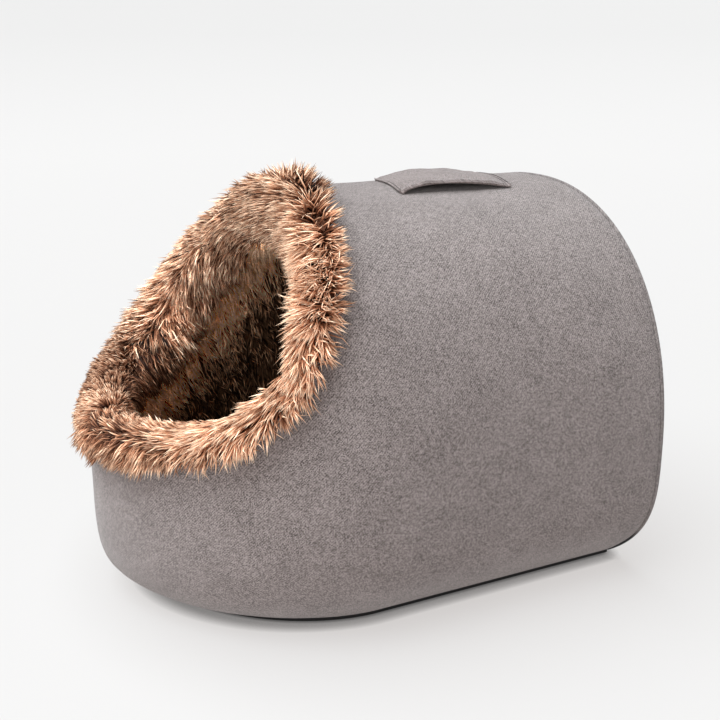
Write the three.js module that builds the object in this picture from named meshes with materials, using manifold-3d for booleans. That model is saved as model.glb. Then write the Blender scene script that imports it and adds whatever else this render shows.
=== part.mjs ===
// Dome pet bed: a foam-walled cave of grey woven cloth on a black sole, with a cloth
// strap on its roof, a collar of long fur round its mouth and shorter fur inside.
// Millimetres. X points to the side, Y from the mouth to the back and Z up. The
// origin is the middle of the sole's underside.
import * as THREE from "three";
import * as BufferGeometryUtils from "three/addons/utils/BufferGeometryUtils.js";
import Module from "manifold-3d";

const wasm = await Module();
wasm.setup();

// Body, as the outside of the cloth stands
const BODY_LENGTH = 520;
const BODY_WIDTH = 466;
const BODY_HEIGHT = 401;
const WIDEST_HEIGHT = 142;
const FOOT_WIDTH = 310;
const ROOF_ROUNDNESS = 2.264;
const SIDE_ROLL = 3.15;
const NOSE_LENGTH = 229;
const NOSE_ROUNDNESS = 1.82;
const NOSE_ROLL = 8;

// Mouth, as its edge runs in the side view
const MOUTH_TOP_FROM_FRONT = 206;
const LIP_HEIGHT = 181;
const MOUTH_STRAIGHTNESS = 0.49;
const MOUTH_SCOOP = 6.4;

// Walls
const WALL_THICKNESS = 22;
const WALL_EDGE_BULGE = 6;
const LINING_THICKNESS = 9;
const LINING_LUMP = 2.6;
const LUMP_START = 28;
const LUMP_FULL = 75;
const FOOT_BLEND = 70;
const SLANT_LIMIT = 1.4;
const SOLE_THICKNESS = 4.7;
const SOLE_INSET = 1.2;
const GAP = 0.3;

// Back end
const WELT_RADIUS = 2.3;
const WELT_SIDES = 8;
const WELT_END_LIFT = 0.3;
const BACK_CROWN = 5;
const BACK_PLUG_DEPTH = 16;

// Collar strip and its locks
const COLLAR_THICKNESS = 8;
const COLLAR_LUMP = 1.3;
const COLLAR_LEG = 8;
const COLLAR_REACH = 8.5;
const COLLAR_CLEARANCE = 0.6;
const COLLAR_INNER_CLEARANCE = 3.4;
const LOCK_EMBED = 4;

// Floor pad
const PAD_HEIGHT = 42;
const PAD_CROWN = 9;
const PAD_LUMP = 3;
const PAD_CLEARANCE = 3;

// Carrying strap
const STRAP_START = 48;
const STRAP_LENGTH = 135;
const STRAP_MIDDLE_X = 14;
const STRAP_HALF_WIDTH = 46;
const STRAP_SKEW = 0.2;
const STRAP_THICKNESS = 2.6;
const STRAP_RISE = 8.2;
const STRAP_PEAK_SHIFT = 0.66;
const STRAP_FULLNESS = 0.8;
const STRAP_FAR_SAG = 0.3;
const STRAP_SEWN_END = 5;
const STRAP_CORNER = 7;

// Steps of the facets
const RIM_STEPS = 20;
const FOOT_HEIGHTS = [0, 9, 24, 46, 76, 128];
const STRAIGHT_STEPS = 4;
const NOSE_STEPS = 8;

const COLORS = {
  cloth: 0x8a807e,
  welt: 0x7d7371,
  sole: 0x141414,
  strap: 0x968b89,
  longFur: 0xa6785b,
  shortFur: 0x6b4a34,
  padFur: 0x4a3122,
};

const HALF_WIDTH = BODY_WIDTH / 2;
const BACK_Y = BODY_LENGTH / 2;
const FRONT_Y = -BODY_LENGTH / 2;
const NOSE_START_Y = FRONT_Y + NOSE_LENGTH;
const MOUTH_TOP_Y = FRONT_Y + MOUTH_TOP_FROM_FRONT;
const SHELL_FOOT = SOLE_THICKNESS + GAP;
const SHELL_END_Y = BACK_Y - 2 * WELT_RADIUS - GAP;

// Half the body's width at a height: rolled in at the foot, arched over the roof.
function halfWidth(z) {
  if (z < WIDEST_HEIGHT) {
    const below = (WIDEST_HEIGHT - z) / WIDEST_HEIGHT;
    return FOOT_WIDTH / 2 + (HALF_WIDTH - FOOT_WIDTH / 2) * (1 - below ** SIDE_ROLL);
  }
  const above = Math.min((z - WIDEST_HEIGHT) / (BODY_HEIGHT - WIDEST_HEIGHT), 1);
  return HALF_WIDTH * (1 - above ** ROOF_ROUNDNESS) ** (1 / ROOF_ROUNDNESS);
}

// How far the nose reaches in front of the straight sides at a height.
function noseReach(z) {
  const below = Math.max((WIDEST_HEIGHT - z) / WIDEST_HEIGHT, 0);
  return NOSE_LENGTH - (HALF_WIDTH - FOOT_WIDTH / 2) * below ** NOSE_ROLL;
}

// Where the mouth's edge lies along the body at a height.
function mouthY(z) {
  const down = (BODY_HEIGHT - z) / (BODY_HEIGHT - LIP_HEIGHT);
  const slope = MOUTH_STRAIGHTNESS * down + (1 - MOUTH_STRAIGHTNESS) * down ** MOUTH_SCOOP;
  return MOUTH_TOP_Y - MOUTH_TOP_FROM_FRONT * slope;
}

// Turn round the nose, 0 at the straight side, at which a row of this height ends.
function rowEnd(z) {
  if (z <= LIP_HEIGHT) {
    return Math.PI / 2;
  }
  const reach = Math.min(Math.max((NOSE_START_Y - mouthY(z)) / noseReach(z), 0), 1);
  return Math.asin(reach ** (NOSE_ROUNDNESS / 2));
}

function nosePoint(z, turn) {
  const x = halfWidth(z) * Math.cos(turn) ** (2 / NOSE_ROUNDNESS);
  const y = NOSE_START_Y - noseReach(z) * Math.sin(turn) ** (2 / NOSE_ROUNDNESS);
  return new THREE.Vector3(x, y, z);
}

// Outward normal of the right half of the body, at a turn round the nose.
function skinNormal(z, turn) {
  if (z > BODY_HEIGHT - 0.01) {
    return new THREE.Vector3(0, 0, 1);
  }
  const step = 0.01;
  const width = halfWidth(z);
  const widthSlope = (halfWidth(z + step) - halfWidth(z - step)) / (2 * step);
  const reachSlope = (noseReach(z + step) - noseReach(z - step)) / (2 * step);
  const side = Math.cos(turn) ** (2 / NOSE_ROUNDNESS);
  const ahead = Math.sin(turn) ** (2 / NOSE_ROUNDNESS);
  const power = NOSE_ROUNDNESS;
  const x = turn > Math.PI / 2 - 1e-6 ? 0 : side ** (power - 1);
  const y = -(width / noseReach(z)) * ahead ** (power - 1);
  const z0 = -(side ** power) * widthSlope - ahead ** power * reachSlope * width / noseReach(z);
  return new THREE.Vector3(x, y, z0).normalize();
}

// The right half of the mouth's edge, sampled closely, with its length so far.
function mouthLengths() {
  const samples = 600;
  const list = [];
  let length = 0;
  let last = null;
  for (let i = 0; i <= samples; i += 1) {
    const z = LIP_HEIGHT + (BODY_HEIGHT - LIP_HEIGHT) * (1 - Math.cos((Math.PI * i) / samples)) / 2;
    const point = nosePoint(z, rowEnd(z));
    length += last ? point.distanceTo(last) : 0;
    list.push({ z, length });
    last = point;
  }
  return list;
}

const MOUTH_TABLE = mouthLengths();
const HALF_MOUTH = MOUTH_TABLE[MOUTH_TABLE.length - 1].length;

// Height of the mouth's edge at a share of its half length, 0 at the lip, 1 at the top.
function mouthHeight(share) {
  const wanted = share * HALF_MOUTH;
  const above = MOUTH_TABLE.findIndex((entry) => entry.length >= wanted - 1e-9);
  if (above <= 0) {
    return MOUTH_TABLE[0].z;
  }
  const a = MOUTH_TABLE[above - 1];
  const b = MOUTH_TABLE[above];
  const part = (wanted - a.length) / Math.max(b.length - a.length, 1e-9);
  return a.z + (b.z - a.z) * part;
}

// Heights of the rows of facets: the foot's rows, then one for each step of the mouth.
const ROWS = FOOT_HEIGHTS.map((height) => SHELL_FOOT + height);
const LIP_ROW = ROWS.length;
for (let k = 0; k <= RIM_STEPS; k += 1) {
  ROWS.push(mouthHeight(k / RIM_STEPS));
}
const COLUMNS = STRAIGHT_STEPS + NOSE_STEPS;

// Point of the right half at a row and column, this deep inside the cloth.
function skinPoint(row, column, depth, endY = SHELL_END_Y) {
  const z = ROWS[row];
  const normal = new THREE.Vector3();
  let point;
  if (column <= STRAIGHT_STEPS) {
    const y = endY + (NOSE_START_Y - endY) * (column / STRAIGHT_STEPS);
    point = new THREE.Vector3(halfWidth(z), y, z);
    normal.copy(skinNormal(z, 0));
  } else {
    const even = (Math.PI / 2) * ((column - STRAIGHT_STEPS) / NOSE_STEPS);
    const turn = Math.min(even, rowEnd(z));
    point = nosePoint(z, turn);
    normal.copy(skinNormal(z, turn));
  }
  const level = normal.clone();
  level.z *= THREE.MathUtils.smoothstep(z, SHELL_FOOT, SHELL_FOOT + FOOT_BLEND);
  level.normalize();
  const slant = Math.min(1 / level.dot(normal), SLANT_LIMIT);
  point.addScaledVector(level, -depth * slant);
  if (row === ROWS.length - 1 || (column === COLUMNS && row <= LIP_ROW)) {
    point.x = 0;
  }
  return point;
}

// A repeatable unevenness between -1 and 1 for any place.
function uneven(a, b) {
  const wave = Math.sin(a * 12.9898 + b * 78.233) * 43758.5453;
  return 2 * (wave - Math.floor(wave)) - 1;
}

// Collects triangles, then gives one closed geometry with its faces pointing out.
class Facets {
  constructor() {
    this.points = [];
  }

  triangle(a, b, c) {
    this.points.push(a, b, c);
  }

  quad(a, b, c, d) {
    this.triangle(a, b, c);
    this.triangle(a, c, d);
  }

  mirroredQuad(a, b, c, d) {
    this.quad(a, b, c, d);
    const [e, f, g, h] = [a, b, c, d].map((p) => new THREE.Vector3(-p.x, p.y, p.z));
    this.quad(h, g, f, e);
  }

  loft(rings) {
    for (let k = 0; k + 1 < rings.length; k += 1) {
      const count = rings[k].length;
      for (let i = 0; i < count; i += 1) {
        const next = (i + 1) % count;
        this.quad(rings[k][i], rings[k][next], rings[k + 1][next], rings[k + 1][i]);
      }
    }
  }

  fan(ring, centre, flipped) {
    for (let i = 0; i < ring.length; i += 1) {
      const next = ring[(i + 1) % ring.length];
      this.triangle(centre, flipped ? next : ring[i], flipped ? ring[i] : next);
    }
  }

  geometry() {
    const flat = new Float32Array(this.points.flatMap((p) => [p.x, p.y, p.z]));
    const loose = new THREE.BufferGeometry();
    loose.setAttribute("position", new THREE.BufferAttribute(flat, 3));
    const merged = BufferGeometryUtils.mergeVertices(loose, 1e-3);
    const index = merged.getIndex().array;
    const kept = [];
    for (let i = 0; i < index.length; i += 3) {
      const [a, b, c] = [index[i], index[i + 1], index[i + 2]];
      if (a !== b && b !== c && a !== c) {
        kept.push(a, b, c);
      }
    }
    merged.setIndex(signedVolume(merged, kept) < 0 ? flipped(kept) : kept);
    return merged;
  }
}

function signedVolume(geometry, index) {
  const position = geometry.getAttribute("position");
  const [a, b, c] = [new THREE.Vector3(), new THREE.Vector3(), new THREE.Vector3()];
  let sum = 0;
  for (let i = 0; i < index.length; i += 3) {
    a.fromBufferAttribute(position, index[i]);
    b.fromBufferAttribute(position, index[i + 1]);
    c.fromBufferAttribute(position, index[i + 2]);
    sum += a.dot(b.cross(c)) / 6;
  }
  return sum;
}

function flipped(index) {
  const turned = [];
  for (let i = 0; i < index.length; i += 3) {
    turned.push(index[i], index[i + 2], index[i + 1]);
  }
  return turned;
}

function toManifold(geometry) {
  const vertProperties = new Float32Array(geometry.getAttribute("position").array);
  const triVerts = new Uint32Array(geometry.getIndex().array);
  return new wasm.Manifold(new wasm.Mesh({ numProp: 3, vertProperties, triVerts }));
}

function fromManifold(solid) {
  const mesh = solid.getMesh();
  const geometry = new THREE.BufferGeometry();
  geometry.setAttribute("position", new THREE.BufferAttribute(mesh.vertProperties.slice(), 3));
  geometry.setIndex(Array.from(mesh.triVerts));
  return geometry;
}

// A wall over the sides, roof and nose between two depths, open at the mouth.
function wallGeometry(outerDepth, innerDepth, endY, edgeBulge) {
  const facets = new Facets();
  const outer = ROWS.map((z, row) => columnPoints(row, outerDepth, endY));
  const inner = ROWS.map((z, row) => columnPoints(row, innerDepth, endY));
  const last = ROWS.length - 1;
  for (let row = 0; row < last; row += 1) {
    for (let column = 0; column < COLUMNS; column += 1) {
      const [a, b] = [outer[row][column], outer[row + 1][column]];
      const [c, d] = [outer[row + 1][column + 1], outer[row][column + 1]];
      facets.mirroredQuad(a, b, c, d);
      const [e, f] = [inner[row][column], inner[row][column + 1]];
      const [g, h] = [inner[row + 1][column + 1], inner[row + 1][column]];
      facets.mirroredQuad(e, f, g, h);
    }
    facets.mirroredQuad(outer[row][0], inner[row][0], inner[row + 1][0], outer[row + 1][0]);
    if (row >= LIP_ROW) {
      const [a, b] = [outer[row][COLUMNS], outer[row + 1][COLUMNS]];
      const [e, f] = [inner[row][COLUMNS], inner[row + 1][COLUMNS]];
      const low = edgeMiddle(row, a, e, edgeBulge);
      const high = edgeMiddle(row + 1, b, f, edgeBulge);
      facets.mirroredQuad(a, b, high, low);
      facets.mirroredQuad(low, high, f, e);
    }
  }
  for (let column = 0; column < COLUMNS; column += 1) {
    const [a, b] = [outer[0][column], outer[0][column + 1]];
    facets.mirroredQuad(a, b, inner[0][column + 1], inner[0][column]);
  }
  return facets.geometry();
}

function columnPoints(row, depth, endY) {
  const list = [];
  for (let column = 0; column <= COLUMNS; column += 1) {
    list.push(skinPoint(row, column, depth(row, column), endY));
  }
  return list;
}

function edgeMiddle(row, outer, inner, bulge) {
  const frame = mouthFrame((row - LIP_ROW) / RIM_STEPS);
  const middle = outer.clone().add(inner).multiplyScalar(0.5);
  middle.addScaledVector(frame.forward, bulge);
  if (row === LIP_ROW || row === ROWS.length - 1) {
    middle.x = 0;
  }
  return middle;
}

// Place and directions at a share of the mouth's half edge: outward from the cloth,
// along the edge, and forward out of the wall's end.
function mouthFrame(share) {
  const z = mouthHeight(share);
  const turn = rowEnd(z);
  const point = nosePoint(z, turn);
  const outward = skinNormal(z, turn);
  const step = 0.004;
  const below = mouthHeight(Math.max(share - step, 0));
  const above = mouthHeight(Math.min(share + step, 1));
  const along = nosePoint(above, rowEnd(above)).sub(nosePoint(below, rowEnd(below)));
  if (share < 1e-6) {
    point.x = 0;
    along.set(1, 0, 0);
    outward.x = 0;
    outward.normalize();
  }
  if (share > 1 - 1e-6) {
    point.x = 0;
    along.set(-1, 0, 0);
  }
  along.addScaledVector(outward, -along.dot(outward)).normalize();
  const forward = new THREE.Vector3().crossVectors(outward, along).normalize();
  if (forward.y > 0 && forward.z <= 0.5) {
    forward.negate();
  }
  return { point, outward, along, forward };
}

// The same for the whole edge: 0 and 1 at the lip, 0.5 at the top.
function ringFrame(share) {
  const turned = ((share % 1) + 1) % 1;
  const right = turned <= 0.5;
  const frame = mouthFrame(right ? turned * 2 : 2 - turned * 2);
  if (!right) {
    for (const name of ["point", "outward", "along", "forward"]) {
      frame[name].x *= -1;
    }
  }
  return frame;
}

function place(frame, outward, forward) {
  const point = frame.point.clone();
  point.addScaledVector(frame.outward, outward);
  return point.addScaledVector(frame.forward, forward);
}

// Outer shell: foam wall covered in woven cloth.
function outerShell() {
  return wallGeometry(() => 0, () => WALL_THICKNESS, SHELL_END_Y, WALL_EDGE_BULGE);
}

// Distance from a point of the right half to the mouth's edge.
function mouthDistance(point) {
  const spots = ROWS.slice(LIP_ROW).map((z) => nosePoint(z, rowEnd(z)));
  return Math.min(...spots.map((spot) => spot.distanceTo(point)));
}

// Fur lining: a lumpy skin on the inside of the shell, smooth where it meets the mouth.
function furLining() {
  const start = WALL_THICKNESS + GAP + 0.1;
  const depth = (row, column) => {
    const away = mouthDistance(skinPoint(row, column, 0));
    const fade = THREE.MathUtils.smoothstep(away, LUMP_START, LUMP_FULL);
    const edge = row === 0 || row === ROWS.length - 1 ? 0 : 1;
    return start + LINING_THICKNESS + LINING_LUMP * uneven(row, column) * fade * edge;
  };
  const endY = SHELL_END_Y - BACK_PLUG_DEPTH - GAP;
  return wallGeometry(() => start, depth, endY, WALL_EDGE_BULGE / 2);
}

// A ring of points round the arched section, this deep inside the cloth.
function archRing(depth, y) {
  const right = ROWS.map((z, row) => skinPoint(row, 0, depth, y));
  const left = right.slice(0, -1).reverse().map((p) => new THREE.Vector3(-p.x, p.y, p.z));
  return [...right, ...left];
}

// Draws a ring towards a point by a share, keeping it at its own place along the body.
function drawnIn(ring, centre, share, y) {
  return ring.map((p) => {
    const moved = p.clone().lerp(centre, share);
    moved.y = y;
    return moved;
  });
}

// Back panel: a padded panel whose inner half plugs the shell's end.
function backPanel() {
  const centre = new THREE.Vector3(0, 0, WIDEST_HEIGHT + 30);
  const plugStart = SHELL_END_Y - BACK_PLUG_DEPTH;
  const seat = SHELL_END_Y + GAP;
  const plugDepth = WALL_THICKNESS + GAP;
  const rimDepth = 2 * WELT_RADIUS + 1.4;
  const rings = [
    drawnIn(archRing(plugDepth, 0), centre, 0.04, plugStart),
    archRing(plugDepth + 0.5, plugStart + 3),
    archRing(plugDepth + 0.5, seat - 0.05),
    archRing(rimDepth, seat),
    archRing(rimDepth, BACK_Y - 1),
    drawnIn(archRing(rimDepth, 0), centre, 0.05, BACK_Y + BACK_CROWN * 0.3),
    drawnIn(archRing(rimDepth, 0), centre, 0.3, BACK_Y + BACK_CROWN * 0.75),
    drawnIn(archRing(rimDepth, 0), centre, 0.65, BACK_Y + BACK_CROWN),
  ];
  const facets = new Facets();
  facets.loft(rings);
  facets.fan(rings[0], new THREE.Vector3(0, plugStart, centre.z), true);
  facets.fan(rings[rings.length - 1], new THREE.Vector3(0, BACK_Y + BACK_CROWN, centre.z), false);
  return facets.geometry();
}

// Fur on the inside of the back panel: a lumpy slab inside the lining.
function furBack() {
  const centre = new THREE.Vector3(0, 0, WIDEST_HEIGHT + 30);
  const depth = WALL_THICKNESS + LINING_THICKNESS + LINING_LUMP + 3;
  const backY = SHELL_END_Y - BACK_PLUG_DEPTH - GAP;
  const frontY = backY - LINING_THICKNESS;
  const rings = [archRing(depth, backY), archRing(depth, frontY + 2)];
  for (const share of [0.12, 0.45, 0.75]) {
    const ring = drawnIn(archRing(depth, 0), centre, share, frontY);
    ring.forEach((p, i) => {
      p.y += LINING_LUMP * uneven(i, share);
    });
    rings.push(ring);
  }
  const facets = new Facets();
  facets.loft(rings);
  facets.fan(rings[0], new THREE.Vector3(0, backY, centre.z), true);
  facets.fan(rings[rings.length - 1], new THREE.Vector3(0, frontY, centre.z), false);
  return facets.geometry();
}

// Welt: a covered cord in the seam round the back panel, from sole to sole.
function backWelt() {
  const depth = WELT_RADIUS + 0.05;
  const y = SHELL_END_Y + GAP + WELT_RADIUS;
  const route = archRing(depth, y);
  route[0].lerp(route[1], WELT_END_LIFT);
  route[route.length - 1].lerp(route[route.length - 2], WELT_END_LIFT);
  const curve = new THREE.CatmullRomCurve3(route, false, "centripetal");
  const section = new THREE.Shape();
  for (let i = 0; i < WELT_SIDES; i += 1) {
    const angle = (2 * Math.PI * (i + 0.5)) / WELT_SIDES;
    const [x0, y0] = [WELT_RADIUS * Math.cos(angle), WELT_RADIUS * Math.sin(angle)];
    if (i === 0) {
      section.moveTo(x0, y0);
    } else {
      section.lineTo(x0, y0);
    }
  }
  section.closePath();
  return new THREE.ExtrudeGeometry(section, { steps: 56, extrudePath: curve, bevelEnabled: false });
}

// A closed outline in plan along a row, this deep inside the cloth, level if z is given.
function planRing(row, depth, backY, z) {
  const right = [];
  for (let column = 0; column <= COLUMNS; column += 1) {
    right.push(skinPoint(row, column, depth, backY));
  }
  const left = right.slice(0, -1).reverse().map((p) => new THREE.Vector3(-p.x, p.y, p.z));
  return [...right, ...left].map((p) => new THREE.Vector3(p.x, p.y, z ?? p.z));
}

// Sole: flat black panel whose bound edge is drawn in a little at top and bottom.
function sole() {
  const backY = BACK_Y - SOLE_INSET;
  const rings = [
    planRing(0, SOLE_INSET + 1.4, backY - 1.4, 0),
    planRing(0, SOLE_INSET, backY, 1.2),
    planRing(0, SOLE_INSET, backY, SOLE_THICKNESS - 1.2),
    planRing(0, SOLE_INSET + 1, backY - 1, SOLE_THICKNESS),
  ];
  const facets = new Facets();
  facets.loft(rings);
  facets.fan(rings[0], new THREE.Vector3(0, 0, 0), true);
  facets.fan(rings[rings.length - 1], new THREE.Vector3(0, 0, SOLE_THICKNESS), false);
  return facets.geometry();
}

// Floor pad: a low furry cushion, crowned and lumpy on top, that fills the cave's floor.
function floorPad() {
  const bottom = SHELL_FOOT;
  const liningDepth = WALL_THICKNESS + LINING_THICKNESS + LINING_LUMP;
  const backY = SHELL_END_Y - BACK_PLUG_DEPTH - LINING_THICKNESS - LINING_LUMP - PAD_CLEARANCE - 4;
  const depth = liningDepth + PAD_CLEARANCE;
  const top = bottom + PAD_HEIGHT;
  const levels = [
    { row: 0, inset: 3, z: bottom },
    { row: 1, inset: 0 },
    { row: 2, inset: 0 },
    { row: 2, inset: 4, z: top - 6 },
    { row: 2, inset: 12, z: top },
  ];
  const rings = levels.map((level) => {
    const inset = depth + level.inset;
    return planRing(level.row, inset, backY - level.inset, level.z);
  });
  const centre = new THREE.Vector3(0, 20, 0);
  const shoulder = rings[rings.length - 1];
  for (const share of [0.25, 0.5, 0.78]) {
    const crown = top + PAD_CROWN * Math.sin((share * Math.PI) / 2);
    rings.push(shoulder.map((p, i) => {
      const moved = p.clone().lerp(centre, share);
      moved.z = crown + PAD_LUMP * uneven(i, share + 3);
      return moved;
    }));
  }
  const facets = new Facets();
  facets.loft(rings);
  facets.fan(rings[0], new THREE.Vector3(centre.x, centre.y, bottom), true);
  const peak = new THREE.Vector3(centre.x, centre.y, top + PAD_CROWN);
  facets.fan(rings[rings.length - 1], peak, false);
  return facets.geometry();
}

// Carrying strap: follows the roof across, a little off the middle and askew. It is
// sewn flat at both ends and bowed between, most towards the mouth and the near edge.
function carryStrap() {
  const along = 18;
  const across = 8;
  const nearX = STRAP_MIDDLE_X + STRAP_HALF_WIDTH;
  const top = [];
  const under = [];
  for (let i = 0; i <= along; i += 1) {
    const fromStart = (STRAP_LENGTH * i) / along;
    const fromEnd = Math.min(fromStart, STRAP_LENGTH - fromStart);
    const rounding = Math.max(STRAP_CORNER - fromEnd, 0);
    const corner = STRAP_CORNER - Math.sqrt(STRAP_CORNER ** 2 - rounding ** 2);
    const reach = STRAP_HALF_WIDTH - corner;
    const bow = strapBow(fromStart);
    const topRow = [];
    const underRow = [];
    for (let j = 0; j <= across; j += 1) {
      const x = STRAP_MIDDLE_X - reach + (2 * reach * j) / across;
      const y = STRAP_START + fromStart + STRAP_SKEW * (nearX - x);
      const sag = (STRAP_FAR_SAG * (nearX - x)) / (2 * STRAP_HALF_WIDTH);
      const base = roofHeight(x) + GAP + 0.2 + bow * (1 - sag);
      underRow.push(new THREE.Vector3(x, y, base));
      topRow.push(new THREE.Vector3(x, y, base + STRAP_THICKNESS));
    }
    top.push(topRow);
    under.push(underRow);
  }
  const facets = new Facets();
  for (let i = 0; i < along; i += 1) {
    for (let j = 0; j < across; j += 1) {
      facets.quad(top[i][j], top[i][j + 1], top[i + 1][j + 1], top[i + 1][j]);
      facets.quad(under[i][j], under[i + 1][j], under[i + 1][j + 1], under[i][j + 1]);
    }
    facets.quad(under[i][0], top[i][0], top[i + 1][0], under[i + 1][0]);
    facets.quad(under[i][across], under[i + 1][across], top[i + 1][across], top[i][across]);
  }
  for (let j = 0; j < across; j += 1) {
    facets.quad(under[0][j], under[0][j + 1], top[0][j + 1], top[0][j]);
    facets.quad(under[along][j], top[along][j], top[along][j + 1], under[along][j + 1]);
  }
  return facets.geometry();
}

// Height of the strap's bow over the roof, at a distance from its end by the mouth.
function strapBow(fromStart) {
  const free = (fromStart - STRAP_SEWN_END) / (STRAP_LENGTH - 2 * STRAP_SEWN_END);
  const share = THREE.MathUtils.clamp(free, 0, 1) ** STRAP_PEAK_SHIFT;
  return STRAP_RISE * Math.max(Math.sin(Math.PI * share), 0) ** STRAP_FULLNESS;
}

// Height of the roof at a distance from the middle.
function roofHeight(x) {
  const aside = Math.abs(x) / HALF_WIDTH;
  const rise = (1 - aside ** ROOF_ROUNDNESS) ** (1 / ROOF_ROUNDNESS);
  return WIDEST_HEIGHT + (BODY_HEIGHT - WIDEST_HEIGHT) * rise;
}

// Section of the collar's strip: two legs joined by a half round over the wall's end.
function collarSection(thickness) {
  const middle = -(WALL_THICKNESS + LINING_THICKNESS) / 2;
  const outer = -middle + COLLAR_CLEARANCE + thickness;
  const inner = -middle + COLLAR_INNER_CLEARANCE + thickness;
  const reach = COLLAR_REACH + thickness;
  const list = [{ outward: middle + outer, forward: -COLLAR_LEG }];
  for (const angle of [0, 45, 90, 135, 180]) {
    const turn = THREE.MathUtils.degToRad(angle);
    const half = angle < 90 ? outer : inner;
    const outward = middle + half * Math.cos(turn);
    list.push({ outward, forward: reach * Math.sin(turn) });
  }
  list.push({ outward: middle - inner, forward: -COLLAR_LEG });
  return list;
}

// Rows of locks across the strip. at is the place on the section, from 0 at the outer
// leg's end to 6 at the inner leg's. outward and ahead lean each lock, and drop is the
// share of its length by which its tip hangs.
const LOCK_ROWS = [
  { at: 0.4, outward: 0.42, ahead: -0.9, length: 25, width: 15, drop: 0.25 },
  { at: 1.4, outward: 0.85, ahead: -0.45, length: 24, width: 15, drop: 0.3 },
  { at: 2.4, outward: 0.8, ahead: 0.5, length: 22, width: 14, drop: 0.3 },
  { at: 3.6, outward: -0.55, ahead: 0.75, length: 20, width: 13, drop: 0.2 },
  { at: 4.6, outward: -0.9, ahead: -0.3, length: 19, width: 12, drop: 0.15 },
];
const LOCKS_A_ROW = 46;

// One three-sided lock that bends as it thins, its root sunk in the strip.
function lockGeometry(root, normal, along, lean, drop, length, width) {
  const across = new THREE.Vector3().crossVectors(normal, along).normalize();
  const droop = new THREE.Vector3(0, 0, -drop * length);
  const middle = root.clone().addScaledVector(lean, length * 0.5).addScaledVector(droop, 0.2);
  const tip = root.clone().addScaledVector(lean, length * 0.93).add(droop);
  const side = new THREE.Vector3().crossVectors(lean, along).normalize();
  const low = root.clone().addScaledVector(normal, -LOCK_EMBED);
  const rings = [
    { centre: low, across, size: width / 2 },
    { centre: middle, across: side, size: width * 0.36 },
  ].map((ring) => [90, 210, 330].map((angle) => {
    const turn = THREE.MathUtils.degToRad(angle);
    const point = ring.centre.clone();
    point.addScaledVector(along, ring.size * Math.cos(turn));
    return point.addScaledVector(ring.across, ring.size * 0.8 * Math.sin(turn));
  }));
  const facets = new Facets();
  facets.loft(rings);
  facets.fan(rings[1], tip, false);
  facets.triangle(rings[0][0], rings[0][2], rings[0][1]);
  return facets.geometry();
}

// Fur collar: the strip folded over the mouth's edge, with its locks fused on.
function furCollar() {
  const steps = RIM_STEPS * 2;
  const outside = collarSection(COLLAR_THICKNESS);
  const inside = collarSection(0);
  inside.reverse();
  const rings = [];
  for (let k = 0; k <= steps; k += 1) {
    const frame = ringFrame(k / steps);
    const over = outside.map((spot, i) => {
      const lump = COLLAR_LUMP * uneven(k % steps, i);
      return place(frame, spot.outward, spot.forward + lump);
    });
    rings.push([...over, ...inside.map((spot) => place(frame, spot.outward, spot.forward))]);
  }
  const strip = new Facets();
  strip.loft(rings);
  let collar = toManifold(strip.geometry());
  LOCK_ROWS.forEach((row, r) => {
    for (let i = 0; i < LOCKS_A_ROW; i += 1) {
      const offset = r % 2 === 0 ? 0.25 : 0.75;
      const share = (i + offset + 0.16 * uneven(i, r)) / LOCKS_A_ROW;
      const frame = ringFrame(share);
      const low = outside[Math.floor(row.at)];
      const high = outside[Math.floor(row.at) + 1];
      const part = row.at - Math.floor(row.at);
      const outward = low.outward + (high.outward - low.outward) * part;
      const forward = low.forward + (high.forward - low.forward) * part;
      const root = place(frame, outward, forward);
      const normal = frame.outward.clone().multiplyScalar(high.forward - low.forward);
      normal.addScaledVector(frame.forward, low.outward - high.outward).normalize();
      const lean = frame.outward.clone().multiplyScalar(row.outward + 0.12 * uneven(i, r + 9));
      lean.addScaledVector(frame.forward, row.ahead + 0.12 * uneven(i, r + 17));
      lean.addScaledVector(frame.along, 0.25 * uneven(i, r + 29)).normalize();
      const length = row.length * (1 + 0.14 * uneven(i, r + 41));
      const lock = lockGeometry(root, normal, frame.along, lean, row.drop, length, row.width);
      collar = collar.add(toManifold(lock));
    }
  });
  return fromManifold(collar);
}

function mesh(name, geometry, color, roughness) {
  const material = new THREE.MeshStandardMaterial({ color, roughness, metalness: 0 });
  const piece = new THREE.Mesh(geometry, material);
  piece.name = name;
  return piece;
}

const group = new THREE.Group();
group.add(mesh("outer_shell", outerShell(), COLORS.cloth, 0.95));
group.add(mesh("back_panel", backPanel(), COLORS.cloth, 0.95));
group.add(mesh("back_welt", backWelt(), COLORS.welt, 0.95));
group.add(mesh("sole", sole(), COLORS.sole, 0.8));
group.add(mesh("carry_strap", carryStrap(), COLORS.strap, 0.95));
group.add(mesh("fur_collar", furCollar(), COLORS.longFur, 1));
group.add(mesh("fur_lining", furLining(), COLORS.shortFur, 1));
group.add(mesh("fur_back", furBack(), COLORS.shortFur, 1));
group.add(mesh("floor_pad", floorPad(), COLORS.padFur, 1));

export default group;
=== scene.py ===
import math

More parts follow.
